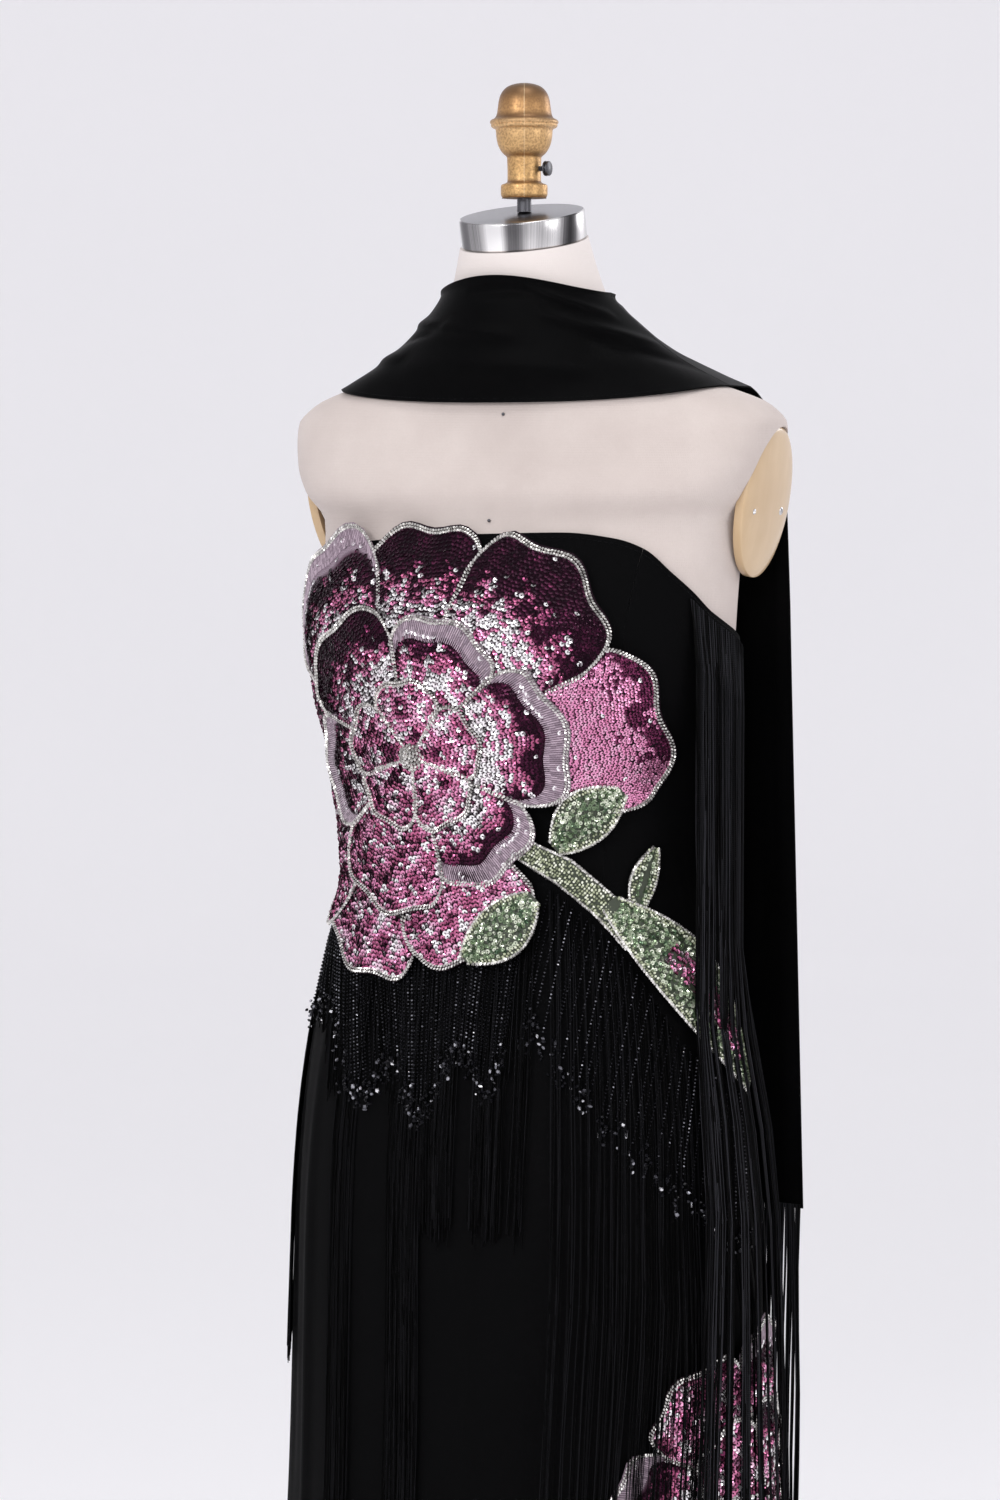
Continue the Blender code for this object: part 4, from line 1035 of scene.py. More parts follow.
# Stem, leaves and bud: rows of pale beads round dark green sequins
StemPoint = namedtuple("StemPoint", "arc height halfWidth")
Leaf = namedtuple("Leaf", "name arc height direction length halfWidth layer")
sprig = dict(
    stem=[StemPoint(*row) for row in (
        (0.030, 1.106, 0.007), (0.071, 1.084, 0.010), (0.100, 1.060, 0.009), (0.125, 1.035, 0.009),
        (0.165, 0.990, 0.016), (0.200, 0.957, 0.013), (0.234, 0.928, 0.003))],
    stemEnd=0.125, stemWidest=0.010, bead=0.0024, beadGap=0.0021, jitter=0.0007, thickness=0.0008,
    dome=0.0022, beadLift=0.0014, sequin=0.0021, sequinLift=0.0012, sequinGap=0.0023, rowGap=0.0024,
    leaves=[Leaf(*row) for row in (
        ("leaf_upper", 0.066, 1.100, 40, 0.064, 0.019, 1.2),
        ("leaf_lower", 0.052, 1.066, -135, 0.064, 0.020, 4.4),
        ("leaf_small", 0.123, 1.052, 72, 0.050, 0.010, -0.4),
        ("bud", 0.103, 1.062, -46.5, 0.190, 0.023, 1.9))],
)


def leafPlace(leaf, along, across):
    angle = math.radians(leaf.direction)
    width = leaf.halfWidth * np.sin(np.pi * (0.06 + 0.9 * along)) ** 0.8 * across
    bend = 0.05 * leaf.length * np.sin(np.pi * along)
    forward = leaf.length * along
    return (leaf.arc + forward * math.cos(angle) - (width + bend) * math.sin(angle),
            leaf.height + forward * math.sin(angle) + (width + bend) * math.cos(angle))


def leafPoints(leaf, along, across, out=0.0):
    arcs, heights = leafPlace(leaf, along, across)
    lift = bloom["layerGap"] + leaf.layer * bloom["layerStep"]
    dome = sprig["dome"] * (1 - across**2) * np.sin(np.pi * along)
    return onGown(arcs, heights, lift + dome + out)


def stemPoints(share, across, out=0.0):
    arcs = [p.arc for p in sprig["stem"]]
    arc = arcs[0] + (sprig["stemEnd"] - arcs[0]) * share
    height = np.interp(arc, arcs, [p.height for p in sprig["stem"]])
    half = np.minimum(np.interp(arc, arcs, [p.halfWidth for p in sprig["stem"]]), sprig["stemWidest"])
    lift = 0.0020 + sprig["dome"] * (1 - across**2)
    return onGown(arc + 0.62 * across * half, height + 0.78 * across * half, lift + out)


def beadRows(surface, isStem, length, half, beads, rim):
    # rows of beads in from both edges, the first as a rim; on the stem also one down the middle
    stations = np.linspace(0.015, 0.985, int(length / sprig["beadGap"]))
    count = len(stations)
    for row in range(4 if isStem else 3):
        inset = row / 4 if isStem else row * sprig["beadGap"] / half
        for side in (-1, 1):
            along = stations + rng.normal(0, 0.0015, count)
            edge = np.full(count, np.clip(1 - inset, 0, 1) * side * (1 if row else 0.97))
            points, facing, ahead, aside = surfaceFrames(surface, along, edge, sprig["beadLift"])
            slant = unit(ahead + aside * 0.6 * side)
            points = points + aside * rng.normal(0, sprig["jitter"] if row else 0, (count, 1))
            tone = rng.random(count) ** (1.0 if row else 0.6)
            (beads if row else rim).append(onePoint(points, facing, slant, 1.0, tone))
    if isStem:
        points, facing, ahead, aside = surfaceFrames(surface, stations, 0 * stations, sprig["beadLift"])
        beads.append(onePoint(points, facing, unit(ahead + aside * 0.3), 1.0, rng.random(count)))


def leafSequins(surface, name, length, half, fill, pink):
    # dark sequins inside a leaf's rows of beads, and pink ones in the bud's heart
    inner = 1 - 3.2 * sprig["beadGap"] / half
    if inner <= 0.1:
        return
    places = np.linspace(-inner, inner, max(int(2 * inner * half / sprig["sequinGap"]), 2))
    across, along = np.meshgrid(places, np.linspace(0.05, 0.95, int(length / sprig["rowGap"])))
    across = across.ravel() + rng.normal(0, 0.04, across.size)
    along = along.ravel() + rng.normal(0, 0.006, along.size)
    points, facing, ahead = surfaceFrames(surface, along, across, sprig["sequinLift"])[:3]
    lying = unit(facing + rng.normal(0, 0.40, facing.shape))
    isPink = (name == "bud") & (along > 0.30) & (along < 0.85) & (np.abs(across - 0.05) < 0.34)
    dark = ~isPink
    fill.append(onePoint(points[dark], lying[dark], ahead[dark], 0.72, rng.random(dark.sum()) ** 0.85))
    pink.append(onePoint(points[isPink], lying[isPink], ahead[isPink], 0.80,
                         0.45 + 0.5 * rng.random(isPink.sum())))


def makeSprig():
    beads, rim, fill, pink = [], [], [], []
    pieces = [("stem", stemPoints, math.hypot(0.095, 0.068), sprig["stemWidest"])]
    for leaf in sprig["leaves"]:
        pieces.append((leaf.name, partial(leafPoints, leaf), leaf.length, leaf.halfWidth))
    share = np.linspace(0, 1, 40)[:, None]
    for name, surface, length, half in pieces:
        grid = surface(share, np.linspace(-1, 1, 15)[None, :] + 0 * share)
        clothPiece(name + "Cloth", grid, sprig["thickness"], greenNet, name)
        beadRows(surface, name == "stem", length, half, beads, rim)
        if name != "stem":
            leafSequins(surface, name, length, half, fill, pink)
    setOnPoints("sprigBeads", beads, beadShape, paleGreen,
                size=sprig["bead"] / 2, change=0.15, lean=0.4, seed=11)
    setOnPoints("sprigRims", rim, ropeShape, silverBeads,
                size=sprig["bead"] * 0.6, change=0.1, lean=0.15, seed=14)
    setOnPoints("sprigSequins", fill, sequinShape, darkGreen,
                size=sprig["sequin"], change=0.1, lean=0.3, seed=12)
    setOnPoints("budSequins", pink, sequinShape, sequinFinish,
                size=sprig["sequin"], change=0.1, lean=0.2, seed=13)


# Fringes: silk threads drawn as three-sided tubes and strings of small beads
Tassel = namedtuple("Tassel", "start end height")
fringes = dict(
    radius=0.00036, levels=17, stringLevels=26, stringGap=0.0027, stringLength=0.088, longEnd=0.300,
    bead=0.0019, endBead=0.0033, knotBeads=8, knotGap=0.0021, knotSpread=(0.0022, 0.0008),
    flowerStrings=58, flowerLastArc=0.050, flowerThreads=8, tasselThreads=13,
    stemFirst=0.062, stemLast=0.222, stemStrings=30, stemThreads=6,
    stringOff=0.0034, threadOff=0.0028, stemOff=(0.0030, 0.0068, 0.82, 0.05),
    bustOff=(0.0085, 0.0045, 0.95, 0.1), bustStart=66, bustEnd=116, bustThreads=360, bustHem=0.160,
    bunchDraw=0.76, looseDraw=0.3, looseUpTo=69, bunchStep=4.6,
    tassels=[Tassel(*row) for row in ((-95, -70, 0.718), (-38, -30, 0.300), (-17.5, -8.5, 0.300),
                                      (-8, 1, 0.830), (7, 15.5, 0.830), (19.5, 27, 0.830))],
)


bunchEdges = np.cumsum(rng.uniform(0.6, 1.4, 26) * fringes["bunchStep"])


def lowAngles(paths):
    # degrees round the gown where each thread ends
    return np.degrees(np.arctan2(paths[:, -1, 0], -paths[:, -1, 1]))


def drapePoints(points, heights, margin, hugs=False):
    # where threads that came down at these points are at lower heights, kept off the gown
    halfWidth, centreY, front, back = rowsAt(gownSections, heights)[:4]
    depth = np.where(points[:, 1] < centreY, front, back)
    degrees = np.degrees(np.arctan2(points[:, 0] / halfWidth, -(points[:, 1] - centreY) / depth))
    surface = gownPoints(degrees, heights, margin)[0]
    level = np.stack([points[:, 0], points[:, 1], heights], -1)
    if hugs:
        return surface
    centre = np.stack([0 * centreY, centreY, heights], -1)
    inside = np.linalg.norm(level - centre, axis=1) < np.linalg.norm(surface - centre, axis=1)
    return np.where(inside[:, None], surface, level)


def hangPaths(roots, ends, marginAt, hugs, sway, levels):
    # each thread's points from its root to its end: marginAt(height) is how far off the gown it lies
    share = np.linspace(0, 1, levels) ** 1.15
    heights = roots[:, 2:3] + (ends[:, None] - roots[:, 2:3]) * share[None, :]
    paths = np.empty((len(roots), levels, 3))
    paths[:, 0] = roots
    for k in range(1, levels):
        margins = np.array([marginAt(h) for h in heights[:, k]])
        paths[:, k] = drapePoints(paths[:, k - 1], heights[:, k], margins, hugs)
    phase = rng.random(len(roots)) * 6.28
    drift = rng.normal(0, sway, len(roots))
    ways = unit(np.stack([-paths[:, -1, 1], paths[:, -1, 0], 0 * phase], -1))
    wave = sway * 0.5 * np.sin(heights * 24 + phase[:, None]) + drift[:, None] * share[None, :]
    return paths + ways[:, None, :] * (wave * np.minimum(share * 5, 1))[:, :, None]


def bunched(paths, places, edges, draw, begins, ends, looseUpTo=0, looseDraw=0):
    # threads drawn together below their roots, one bunch between each two edges, looser up to a place
    levels = np.linspace(0, 1, paths.shape[1])
    grow = np.clip((levels - begins) / (ends - begins), 0, 1)
    which = np.searchsorted(edges, places)
    for b in range(len(edges) + 1):
        mine = which == b
        if mine.any():
            middle = paths[mine].mean(0, keepdims=True)
            share = (looseDraw if places[mine].mean() < looseUpTo else draw) * rng.uniform(0.7, 1.15) * grow
            paths[mine] += (middle - paths[mine]) * share[None, :, None] * [1, 1, 0]
    return paths


def threadMesh(name, paths, radius, nodes, material):
    # three-sided tubes along the paths, all in one mesh, each thread with its own tint
    count, levels = paths.shape[:2]
    angles = np.array([0, 2.0944, 4.18879])
    ring = np.stack([np.cos(angles), np.sin(angles), 0 * angles], -1) * radius
    points = (paths[:, :, None, :] + ring[None, None]).reshape(-1, 3)
    base = (np.arange(count) * levels * 3)[:, None, None]
    level = base + (np.arange(levels - 1) * 3)[None, :, None]
    side = np.arange(3)[None, None, :]
    after = (side + 1) % 3
    quads = np.stack([level + side, level + after, level + 3 + after, level + 3 + side], -1)
    quads = quads.reshape(-1, 4)[:, ::-1]
    ends = np.concatenate([base[:, 0] + [0, 1, 2], base[:, 0] + (levels - 1) * 3 + [2, 1, 0]])
    mesh = meshFrom(name, points, quads.tolist() + ends.tolist())
    tints = np.repeat(rng.random(count), levels * 3).astype(np.float32)
    mesh.attributes.new("tint", "FLOAT", "POINT").data.foreach_set("value", tints)
    mesh.shade_smooth()
    print(f"{name}: {count} threads, {2 * len(quads) + len(ends)} triangles")
    return dressed(newObject(name, mesh), material, nodes)


def stringBeads(paths, sets):
    # beads along each string, with a knot of larger ones at its end
    gap, count = fringes["stringGap"], fringes["knotBeads"]
    for path in paths:
        lengths = lengthsAlong(path)
        stations = np.arange(gap, lengths[-1] - 0.004, gap)
        points = np.stack([np.interp(stations, lengths, path[:, k]) for k in range(3)], -1)
        way = unit(np.gradient(points, axis=0)) if len(points) > 1 else np.array([[0, 0, -1.0]])
        # each string's own tone; its lighter beads are painted glints
        tone = 0.25 + 0.45 * rng.random()
        tones = np.clip(tone + rng.normal(0, 0.10, len(points)), 0, 1)
        sets["beads"].append(onePoint(points, unit(points * [1, 1, 0]), way, 1.0, tones))
        aside, out = [rng.normal(0, spread, count) for spread in fringes["knotSpread"]]
        tail = path[-1] + np.stack([aside, out, -np.arange(count) * fringes["knotGap"]], -1)
        tones = rng.random(count) ** 2.2
        sets["ends"].append(onePoint(tail, unit(tail * [1, 1, 0]), unit(rng.normal(0, 1, (count, 3))), 1.0,
                                     tones))


def offBy(near, more, height, over):
    # how far off the gown threads lie at a height: near it at first, and farther below the height
    return lambda h: near + more * np.clip((height - h) / over, 0, 1)


def aroundRoots(degrees, heights, margin, spread, count):
    # several threads' roots round each given place
    degrees = np.repeat(degrees, count) + rng.uniform(-spread, spread, len(degrees) * count)
    heights = np.repeat(heights, count)
    return gownPoints(degrees, heights, margin + rng.uniform(-0.0006, 0.0010, len(degrees)))[0]


def makeFlowerFringe(sets):
    # strings and threads from the flower's lower edge, longer threads where a tassel hangs
    angles = np.radians(np.arange(-150, -49, 2))
    tips = sorted(row[:2] for row in bloom["outer"] if row[0] < -40)
    reaches = 0.86 * np.interp(np.degrees(angles), *zip(*tips))
    sideways, upward = reaches * np.cos(angles), reaches * np.sin(angles)
    arcs = np.linspace(sideways[0], fringes["flowerLastArc"] - bloom["arc"], fringes["flowerStrings"])
    heights = bloom["height"] + np.interp(arcs, sideways, upward)
    degrees = degreesAtArc(bloom["arc"] + arcs, heights)
    inTassel = np.zeros(len(degrees), bool)
    hems = np.zeros(len(degrees))
    for tassel in fringes["tassels"]:
        inside = (degrees >= tassel.start) & (degrees <= tassel.end)
        inTassel |= inside
        hems[inside] = tassel.height
    roots = gownPoints(degrees, heights, 0.0030)[0]
    ends = roots[:, 2] - fringes["stringLength"] - 0.02 * np.cos(arcs * 90) - rng.uniform(0, 0.012, len(arcs))
    strings = hangPaths(roots, ends, lambda h: fringes["stringOff"], True, 0.0004, fringes["stringLevels"])
    stringBeads(strings, sets)
    threadRoots, threadEnds = [], []
    for which, count, low in ((inTassel, fringes["tasselThreads"], hems),
                              (~inTassel, fringes["flowerThreads"], ends - 0.01)):
        threadRoots.append(aroundRoots(degrees[which], heights[which], 0.0026, 1.3, count))
        threadEnds.append(np.repeat(low[which], count) + rng.normal(0, 0.006, which.sum() * count))
    paths = hangPaths(np.concatenate(threadRoots), np.concatenate(threadEnds),
                      lambda h: fringes["threadOff"], True, 0.0016, fringes["levels"])
    threadMesh("flowerThreads", paths, fringes["radius"], ["flower_fringe"], darkThread)


def bunchedBelow(paths, begins):
    # the gown's own bunches, looser on the flower's side
    return bunched(paths, lowAngles(paths), bunchEdges, fringes["bunchDraw"], begins, 0.42,
                   fringes["looseUpTo"], fringes["looseDraw"])


def makeStemFringe(sets):
    arcs = np.linspace(fringes["stemFirst"], fringes["stemLast"], fringes["stemStrings"])
    tableArcs, middles, halfWidths = zip(*sprig["stem"])
    heights = np.interp(arcs, tableArcs, middles) - 1.45 * np.interp(arcs, tableArcs, halfWidths) - 0.0045
    degrees = degreesAtArc(arcs, heights)
    roots = gownPoints(degrees, heights, 0.0018)[0]
    ends = roots[:, 2] - fringes["stringLength"] - rng.uniform(-0.008, 0.02, len(arcs))
    marginAt = offBy(*fringes["stemOff"])
    stringBeads(hangPaths(roots, ends, marginAt, False, 0.0008, fringes["stringLevels"]), sets)
    roots = aroundRoots(degrees, heights, 0.0022, 0.8, fringes["stemThreads"])
    ends = fringes["longEnd"] + rng.uniform(0, 0.045, len(roots))
    paths = bunchedBelow(hangPaths(roots, ends, marginAt, False, 0.0018, fringes["levels"]), 0.1)
    threadMesh("stemThreads", paths, fringes["radius"], ["stem_fringe"], darkThread)


def makeBustFringe():
    degrees = np.sort(rng.uniform(fringes["bustStart"], fringes["bustEnd"], fringes["bustThreads"]))
    heights = edgeHeight(degrees) - 0.006
    roots = gownPoints(degrees, heights, rng.uniform(0.0008, 0.0026, len(degrees)))[0]
    ends = fringes["bustHem"] + rng.normal(0, 0.007, len(roots))
    paths = hangPaths(roots, ends, offBy(*fringes["bustOff"]), False, 0.0026, fringes["levels"])
    lift = rng.uniform(-0.0015, 0.0030, len(roots))
    outward = unit(paths * [1, 1, 0])
    levels = np.linspace(0, 1, paths.shape[1])
    paths = paths + outward * (lift[:, None] * levels[None, :] ** 0.3)[:, :, None]
    threadMesh("bustThreads", bunchedBelow(paths, 0.04), fringes["radius"], ["bust_fringe"], thread)


def makeFringes():
    sets = dict(beads=[], ends=[])
    makeFlowerFringe(sets)
    makeStemFringe(sets)
    makeBustFringe()
    setOnPoints("blackStrings", sets["beads"], beadShape, blackBeads,
                size=fringes["bead"] / 2, change=0.1, lean=0.15, seed=21)
    setOnPoints("stringEnds", sets["ends"], facetShape, blackBeads,
                size=fringes["endBead"] / 2, change=0.2, lean=0.6, seed=22)


# Scarf: laid round the neck from the front, its ends hanging down the back
scarf = dict(thickness=0.0011, rise=0.003, tiltAllowance=0.006, lowEdge=1.415, sideRise=0.0115,
             highEdge=1.506, tailFree=1.390, tailHem=0.830, tailRise=0.0066, tailEase=0.0048,
             fringeEnd=0.420, innerX=0.034, outerX=0.170, flare=0.022, hug=0.9, foldDepth=0.007, threads=330,
             threadRadius=0.00062, threadLevels=10, bunches=46, topFall=0.012, lowEase=0.0015, belly=0.003,
             creaseDepth=1.35, roll=0.0022, rollWidth=0.035, wave=0.0012, foldReach=0.3, plateLevel=1.27,
             plateGap=0.006)
ScarfCrease = namedtuple("ScarfCrease", "start end low high depth width")
scarfCreases = [ScarfCrease(*row) for row in (
    (-88, 12, 0.72, 0.52, 0.0026, 0.05), (-70, -28, 0.46, 0.62, -0.0022, 0.05),
    (18, 74, 0.94, 0.74, 0.0030, 0.05), (24, 88, 0.72, 0.44, 0.0034, 0.06),
    (40, 89, 0.52, 0.20, -0.0026, 0.07), (-40, 60, 0.30, 0.26, 0.0020, 0.09),
    (-89, -45, 0.30, 0.34, 0.0026, 0.06), (-20, 40, 0.86, 0.90, -0.0016, 0.05),
)]


def formPoints(degrees, heights, out=0.0):
    return sectionPoints(formSections, degrees, heights, out)


def scarfPoints(degrees, share):
    degrees, share = np.broadcast_arrays(np.asarray(degrees, float), np.asarray(share, float))
    sideways = np.sin(np.radians(degrees)) ** 2
    top = scarf["highEdge"] - scarf["topFall"] * sideways
    lowHeight = scarf["lowEdge"] + scarf["sideRise"] * sideways + 0 * share
    low = formPoints(degrees, lowHeight - 0.0034 * sideways, scarf["rise"] + scarf["lowEase"])[0]
    high, way = formPoints(degrees, top - scarf["tiltAllowance"], scarf["rise"])
    low[..., 2], high[..., 2] = lowHeight, top
    out = scarf["belly"] * np.sin(np.pi * share)
    for c in scarfCreases:
        along = np.clip((degrees - c.start) / (c.end - c.start), 0, 1)
        line = c.low + (c.high - c.low) * along
        depth = scarf["creaseDepth"] * c.depth * np.sin(np.pi * along) ** 0.7
        out = out + depth * np.exp(-((share - line) / c.width) ** 2)
    roll = scarf["roll"] * np.exp(-((1 - share) / scarf["rollWidth"]) ** 2)
    wavy = scarf["wave"] * np.sin(degrees * 0.11 + 2) * (1 - share) ** 2
    taut = low + (high - low) * share[..., None]
    snug, way = formPoints(degrees, taut[..., 2] - scarf["tiltAllowance"] * share, scarf["rise"])
    snug[..., 2] = taut[..., 2]
    return taut + (snug - taut) * scarf["hug"] + way * (out + roll + wavy)[..., None]


def backY(sections, x, height):
    # how far back a body's surface lies at a place to the side
    halfWidth, centreY, _, back, squareness = rowsAt(sections, height)
    share = np.minimum(np.abs(x) / halfWidth, 1)
    return centreY + back * (1 - share**squareness) ** (1 / squareness)


def tailGrid(side):
    # one end of the scarf: over the shoulder's edge, then down the back in folds to its hem
    shares = np.linspace(0, 1, 40)
    x = scarf["innerX"] + (scarf["outerX"] - scarf["innerX"]) * shares
    rows = [scarfPoints(90.0 * side + 0 * shares, 1 - shares)]
    top = rows[0]
    for drop in np.linspace(0.12, 1, 20) ** 2:
        height = top[:, 2] + (scarf["tailFree"] - top[:, 2]) * drop
        across = np.abs(top[:, 0]) + (x - np.abs(top[:, 0])) * drop
        fold = 0.0016 * np.sin(shares * 16 + 1) * np.sin(np.pi * drop)
        back = np.array([backY(formSections, a, h - scarf["tiltAllowance"]) for a, h in zip(across, height)])
        y = np.maximum(back + scarf["tailRise"] + fold, top[:, 1])
        rows.append(np.stack([side * across, y, height], -1))
    for height in np.concatenate([np.linspace(1.383, 1.22, 14), np.linspace(1.205, scarf["tailHem"], 26)]):
        below = scarf["tailFree"] - height
        fall = min(below / scarf["foldReach"], 1)
        x = scarf["innerX"] + (scarf["outerX"] - scarf["innerX"]) * shares
        x = x + scarf["flare"] * shares * below / (scarf["tailFree"] - scarf["tailHem"])
        wave = (0.78 * np.sin(2 * np.pi * 2.5 * shares + 0.8)
                + 0.30 * np.sin(2 * np.pi * 5.3 * shares + height * 6)
                + 0.12 * np.sin(height * 34 + shares * 9))
        near = np.maximum(backY(gownSections, x, height), backY(formSections, x, max(height, 0.8)))
        folded = near + scarf["tailEase"] + scarf["foldDepth"] * fall * (1 + wave)
        y = np.maximum(rows[-1][:, 1] - 0.0004, folded)
        if height > scarf["plateLevel"]:  # clear of the arm plate
            y = np.maximum(y, armPlate["centre"][1] + armPlate["depth"] + scarf["plateGap"])
        rows.append(np.stack([side * x, y, height + 0 * x], -1))
    return np.array(rows)


def hemThreads(name, hem):
    # bunched threads from an end's hem: each starts between two of the hem's points
    share = np.sort(rng.uniform(0.01, 0.99, scarf["threads"])) * (len(hem) - 1)
    at = share.astype(int)
    roots = hem[at] + (hem[np.minimum(at + 1, len(hem) - 1)] - hem[at]) * (share - at)[:, None]
    roots[:, 1] += rng.uniform(-0.0008, 0.0008, len(roots))
    ends = scarf["fringeEnd"] + rng.normal(0, 0.006, len(roots))
    levels = np.linspace(0, 1, scarf["threadLevels"])
    paths = roots[:, None, :] + 0 * levels[None, :, None]
    paths[:, :, 2] = roots[:, 2:3] + 0.003 + (ends[:, None] - roots[:, 2:3] - 0.003) * levels[None, :]
    sway = rng.normal(0, 0.0022, (len(roots), 2))
    paths[:, :, :2] += sway[:, None, :] * (levels**1.4)[None, :, None]
    paths[:, :, 0] += 0.0010 * np.sin(paths[:, :, 2] * 30 + roots[:, :1] * 400)
    edges = np.cumsum(rng.uniform(0.4, 1.6, scarf["bunches"])) / scarf["bunches"]
    paths = bunched(paths, share / (len(hem) - 1), edges, 0.6, 0.0, 0.4)
    threadMesh("scarfThreads" + name, paths, scarf["threadRadius"], ["scarf_fringe_" + name.lower()], thread)


def makeScarf():
    grid = scarfPoints(np.linspace(-89.6, 89.6, 110)[None, :], np.linspace(0, 1, 42)[:, None])
    clothPiece("scarfFront", grid, scarf["thickness"], scarfCloth, "scarf_front")
    for name, side in (("Left", 1), ("Right", -1)):
        grid = tailGrid(side)
        tail = clothShell("scarfTail" + name, grid, scarf["thickness"])
        dressed(tail, scarfCloth, ["scarf_tail_" + name.lower()])
        hemThreads(name, grid[-1])


# Fittings: cap, rod, plate, thumb screw, arm plates, pins and stand
fittings = dict(
    capBottom=1.5627, plateRadius=0.0457, plateThickness=0.0205, neckTop=1.531, rodRadius=0.0053,
    screwHeight=1.5837, screwReach=0.0205, seamTurn=26.5, pins=[(0.006, 1.4068), (0.007, 1.3310)],
    cap=[(0.0000, 0.0828), (0.0040, 0.0826), (0.0080, 0.0818), (0.0118, 0.0803), (0.0149, 0.0778),
         (0.0172, 0.0742), (0.0184, 0.0702), (0.0190, 0.0660), (0.0196, 0.0618), (0.0203, 0.0592),
         (0.0216, 0.0574), (0.0233, 0.0566), (0.0244, 0.0557), (0.0248, 0.0545), (0.0243, 0.0535),
         (0.0239, 0.0531), (0.0241, 0.0526), (0.0237, 0.0512), (0.0222, 0.0502), (0.0209, 0.0496),
         (0.0205, 0.0480), (0.0203, 0.0450), (0.0198, 0.0416), (0.0189, 0.0382), (0.0174, 0.0350),
         (0.0154, 0.0322), (0.0134, 0.0305), (0.0126, 0.0296), (0.0124, 0.0286), (0.0123, 0.0260),
         (0.0121, 0.0200), (0.0121, 0.0140), (0.0124, 0.0118), (0.0136, 0.0108), (0.0156, 0.0101),
         (0.0166, 0.0094), (0.0169, 0.0080), (0.0169, 0.0034), (0.0166, 0.0018), (0.0158, 0.0004),
         (0.0150, 0.0000), (0.0000, 0.0000)],
)


def rounded(profile):
    # a smooth curve through a profile's points, with two more between each pair
    points = np.array(profile)
    padded = np.vstack([points[0], points, points[-1]])
    made = []
    for a, b, c, d in zip(padded, padded[1:], padded[2:], padded[3:]):
        for t in np.linspace(0, 1, 3, endpoint=False):
            made.append(0.5 * (2 * b + (c - a) * t + (2 * a - 5 * b + 4 * c - d) * t**2
                               + (3 * b - a - 3 * c + d) * t**3))
    made.append(points[-1])
    made = [(max(float(r), 0), float(z)) for r, z in made]
    return [made[0]] + [p for p in made[1:-1] if p[0] > 1e-5] + [made[-1]]


def makeCap():
    cap = turned("neckCap", [(r, z + fittings["capBottom"]) for r, z in rounded(fittings["cap"])], 72, 50)
    hole = placed(turned("screwHole", [(0, 0.02), (0.0016, 0.02), (0.0016, 0.0085), (0, 0.0085)], 20),
                  Matrix.Translation((0, 0, fittings["screwHeight"])) @ Matrix.Rotation(-math.pi / 2, 4, "Y"))
    cutBy(cap, hole)
    dressed(smoothed(cap, 40), goldPaint, ["neck_cap"])
    tilt = Matrix.Rotation(form["neckTilt"], 4, "X")
    r, t = fittings["plateRadius"], fittings["plateThickness"]
    plate = turned("neckPlate", [(0, t), (r - 0.0016, t), (r - 0.0012, t - 0.0001), (r - 0.0005, t - 0.0004),
                                 (r - 0.0001, t - 0.0009), (r, t - 0.0014), (r, 0.0012), (r - 0.0003, 0.0005),
                                 (r - 0.0010, 0), (0, 0)], 120, 50)
    placed(plate, Matrix.Translation((0, 0, fittings["neckTop"])) @ tilt @ Matrix.Translation((0, 0, 0.0004)))
    dressed(plate, brushedChrome, ["neck_plate"])
    low, high = fittings["neckTop"] + t + 0.0012, fittings["capBottom"] - 0.0002
    ridges = [(fittings["rodRadius"] - 0.0003 * (k % 2), z) for k, z in enumerate(np.linspace(high, low, 17))]
    rod = turned("neckRod", [(0, high)] + ridges + [(0, low)], 32, 60)
    dressed(rod, darkSteel, ["neck_rod"])


def makeThumbScrew():
    reach = fittings["screwReach"]
    head = [(0, reach), (0.0048, reach), (0.0053, reach - 0.0003), (0.0053, reach - 0.0015),
            (0.0042, reach - 0.0018), (0.0042, reach - 0.0021), (0.0055, reach - 0.0024),
            (0.0055, reach - 0.0035), (0.0050, reach - 0.0038)]
    shank = [(0.0019 - 0.0003 * (k % 2), z) for k, z in enumerate(np.linspace(reach - 0.0038, 0.0124, 15))]
    screw = turned("thumbScrew", head + shank + [(0, 0.0124)], 36, 40)
    for vert in screw.data.vertices:
        radius = math.hypot(vert.co.x, vert.co.y)
        if radius > 0.0046:  # fine knurls round both discs
            knurl = 1 - 0.045 * (0.5 + 0.5 * math.cos(18 * math.atan2(vert.co.y, vert.co.x)))
            vert.co.x, vert.co.y = vert.co.x * knurl, vert.co.y * knurl
    placed(screw, Matrix.Translation((0, 0, fittings["screwHeight"])) @ Matrix.Rotation(math.pi / 2, 4, "Y"))
    dressed(screw, darkSteel, ["thumb_screw"], "thumb_screw")


def slotCutter():
    points = [(x, y, z) for x in (-0.01, 0.01) for y in (-0.0004, 0.0004) for z in (0.0005, 0.004)]
    faces = [(0, 1, 3, 2), (4, 6, 7, 5), (0, 4, 5, 1), (2, 3, 7, 6), (0, 2, 6, 4), (1, 5, 7, 3)]
    return newObject("slot", meshFrom("slot", points, faces))


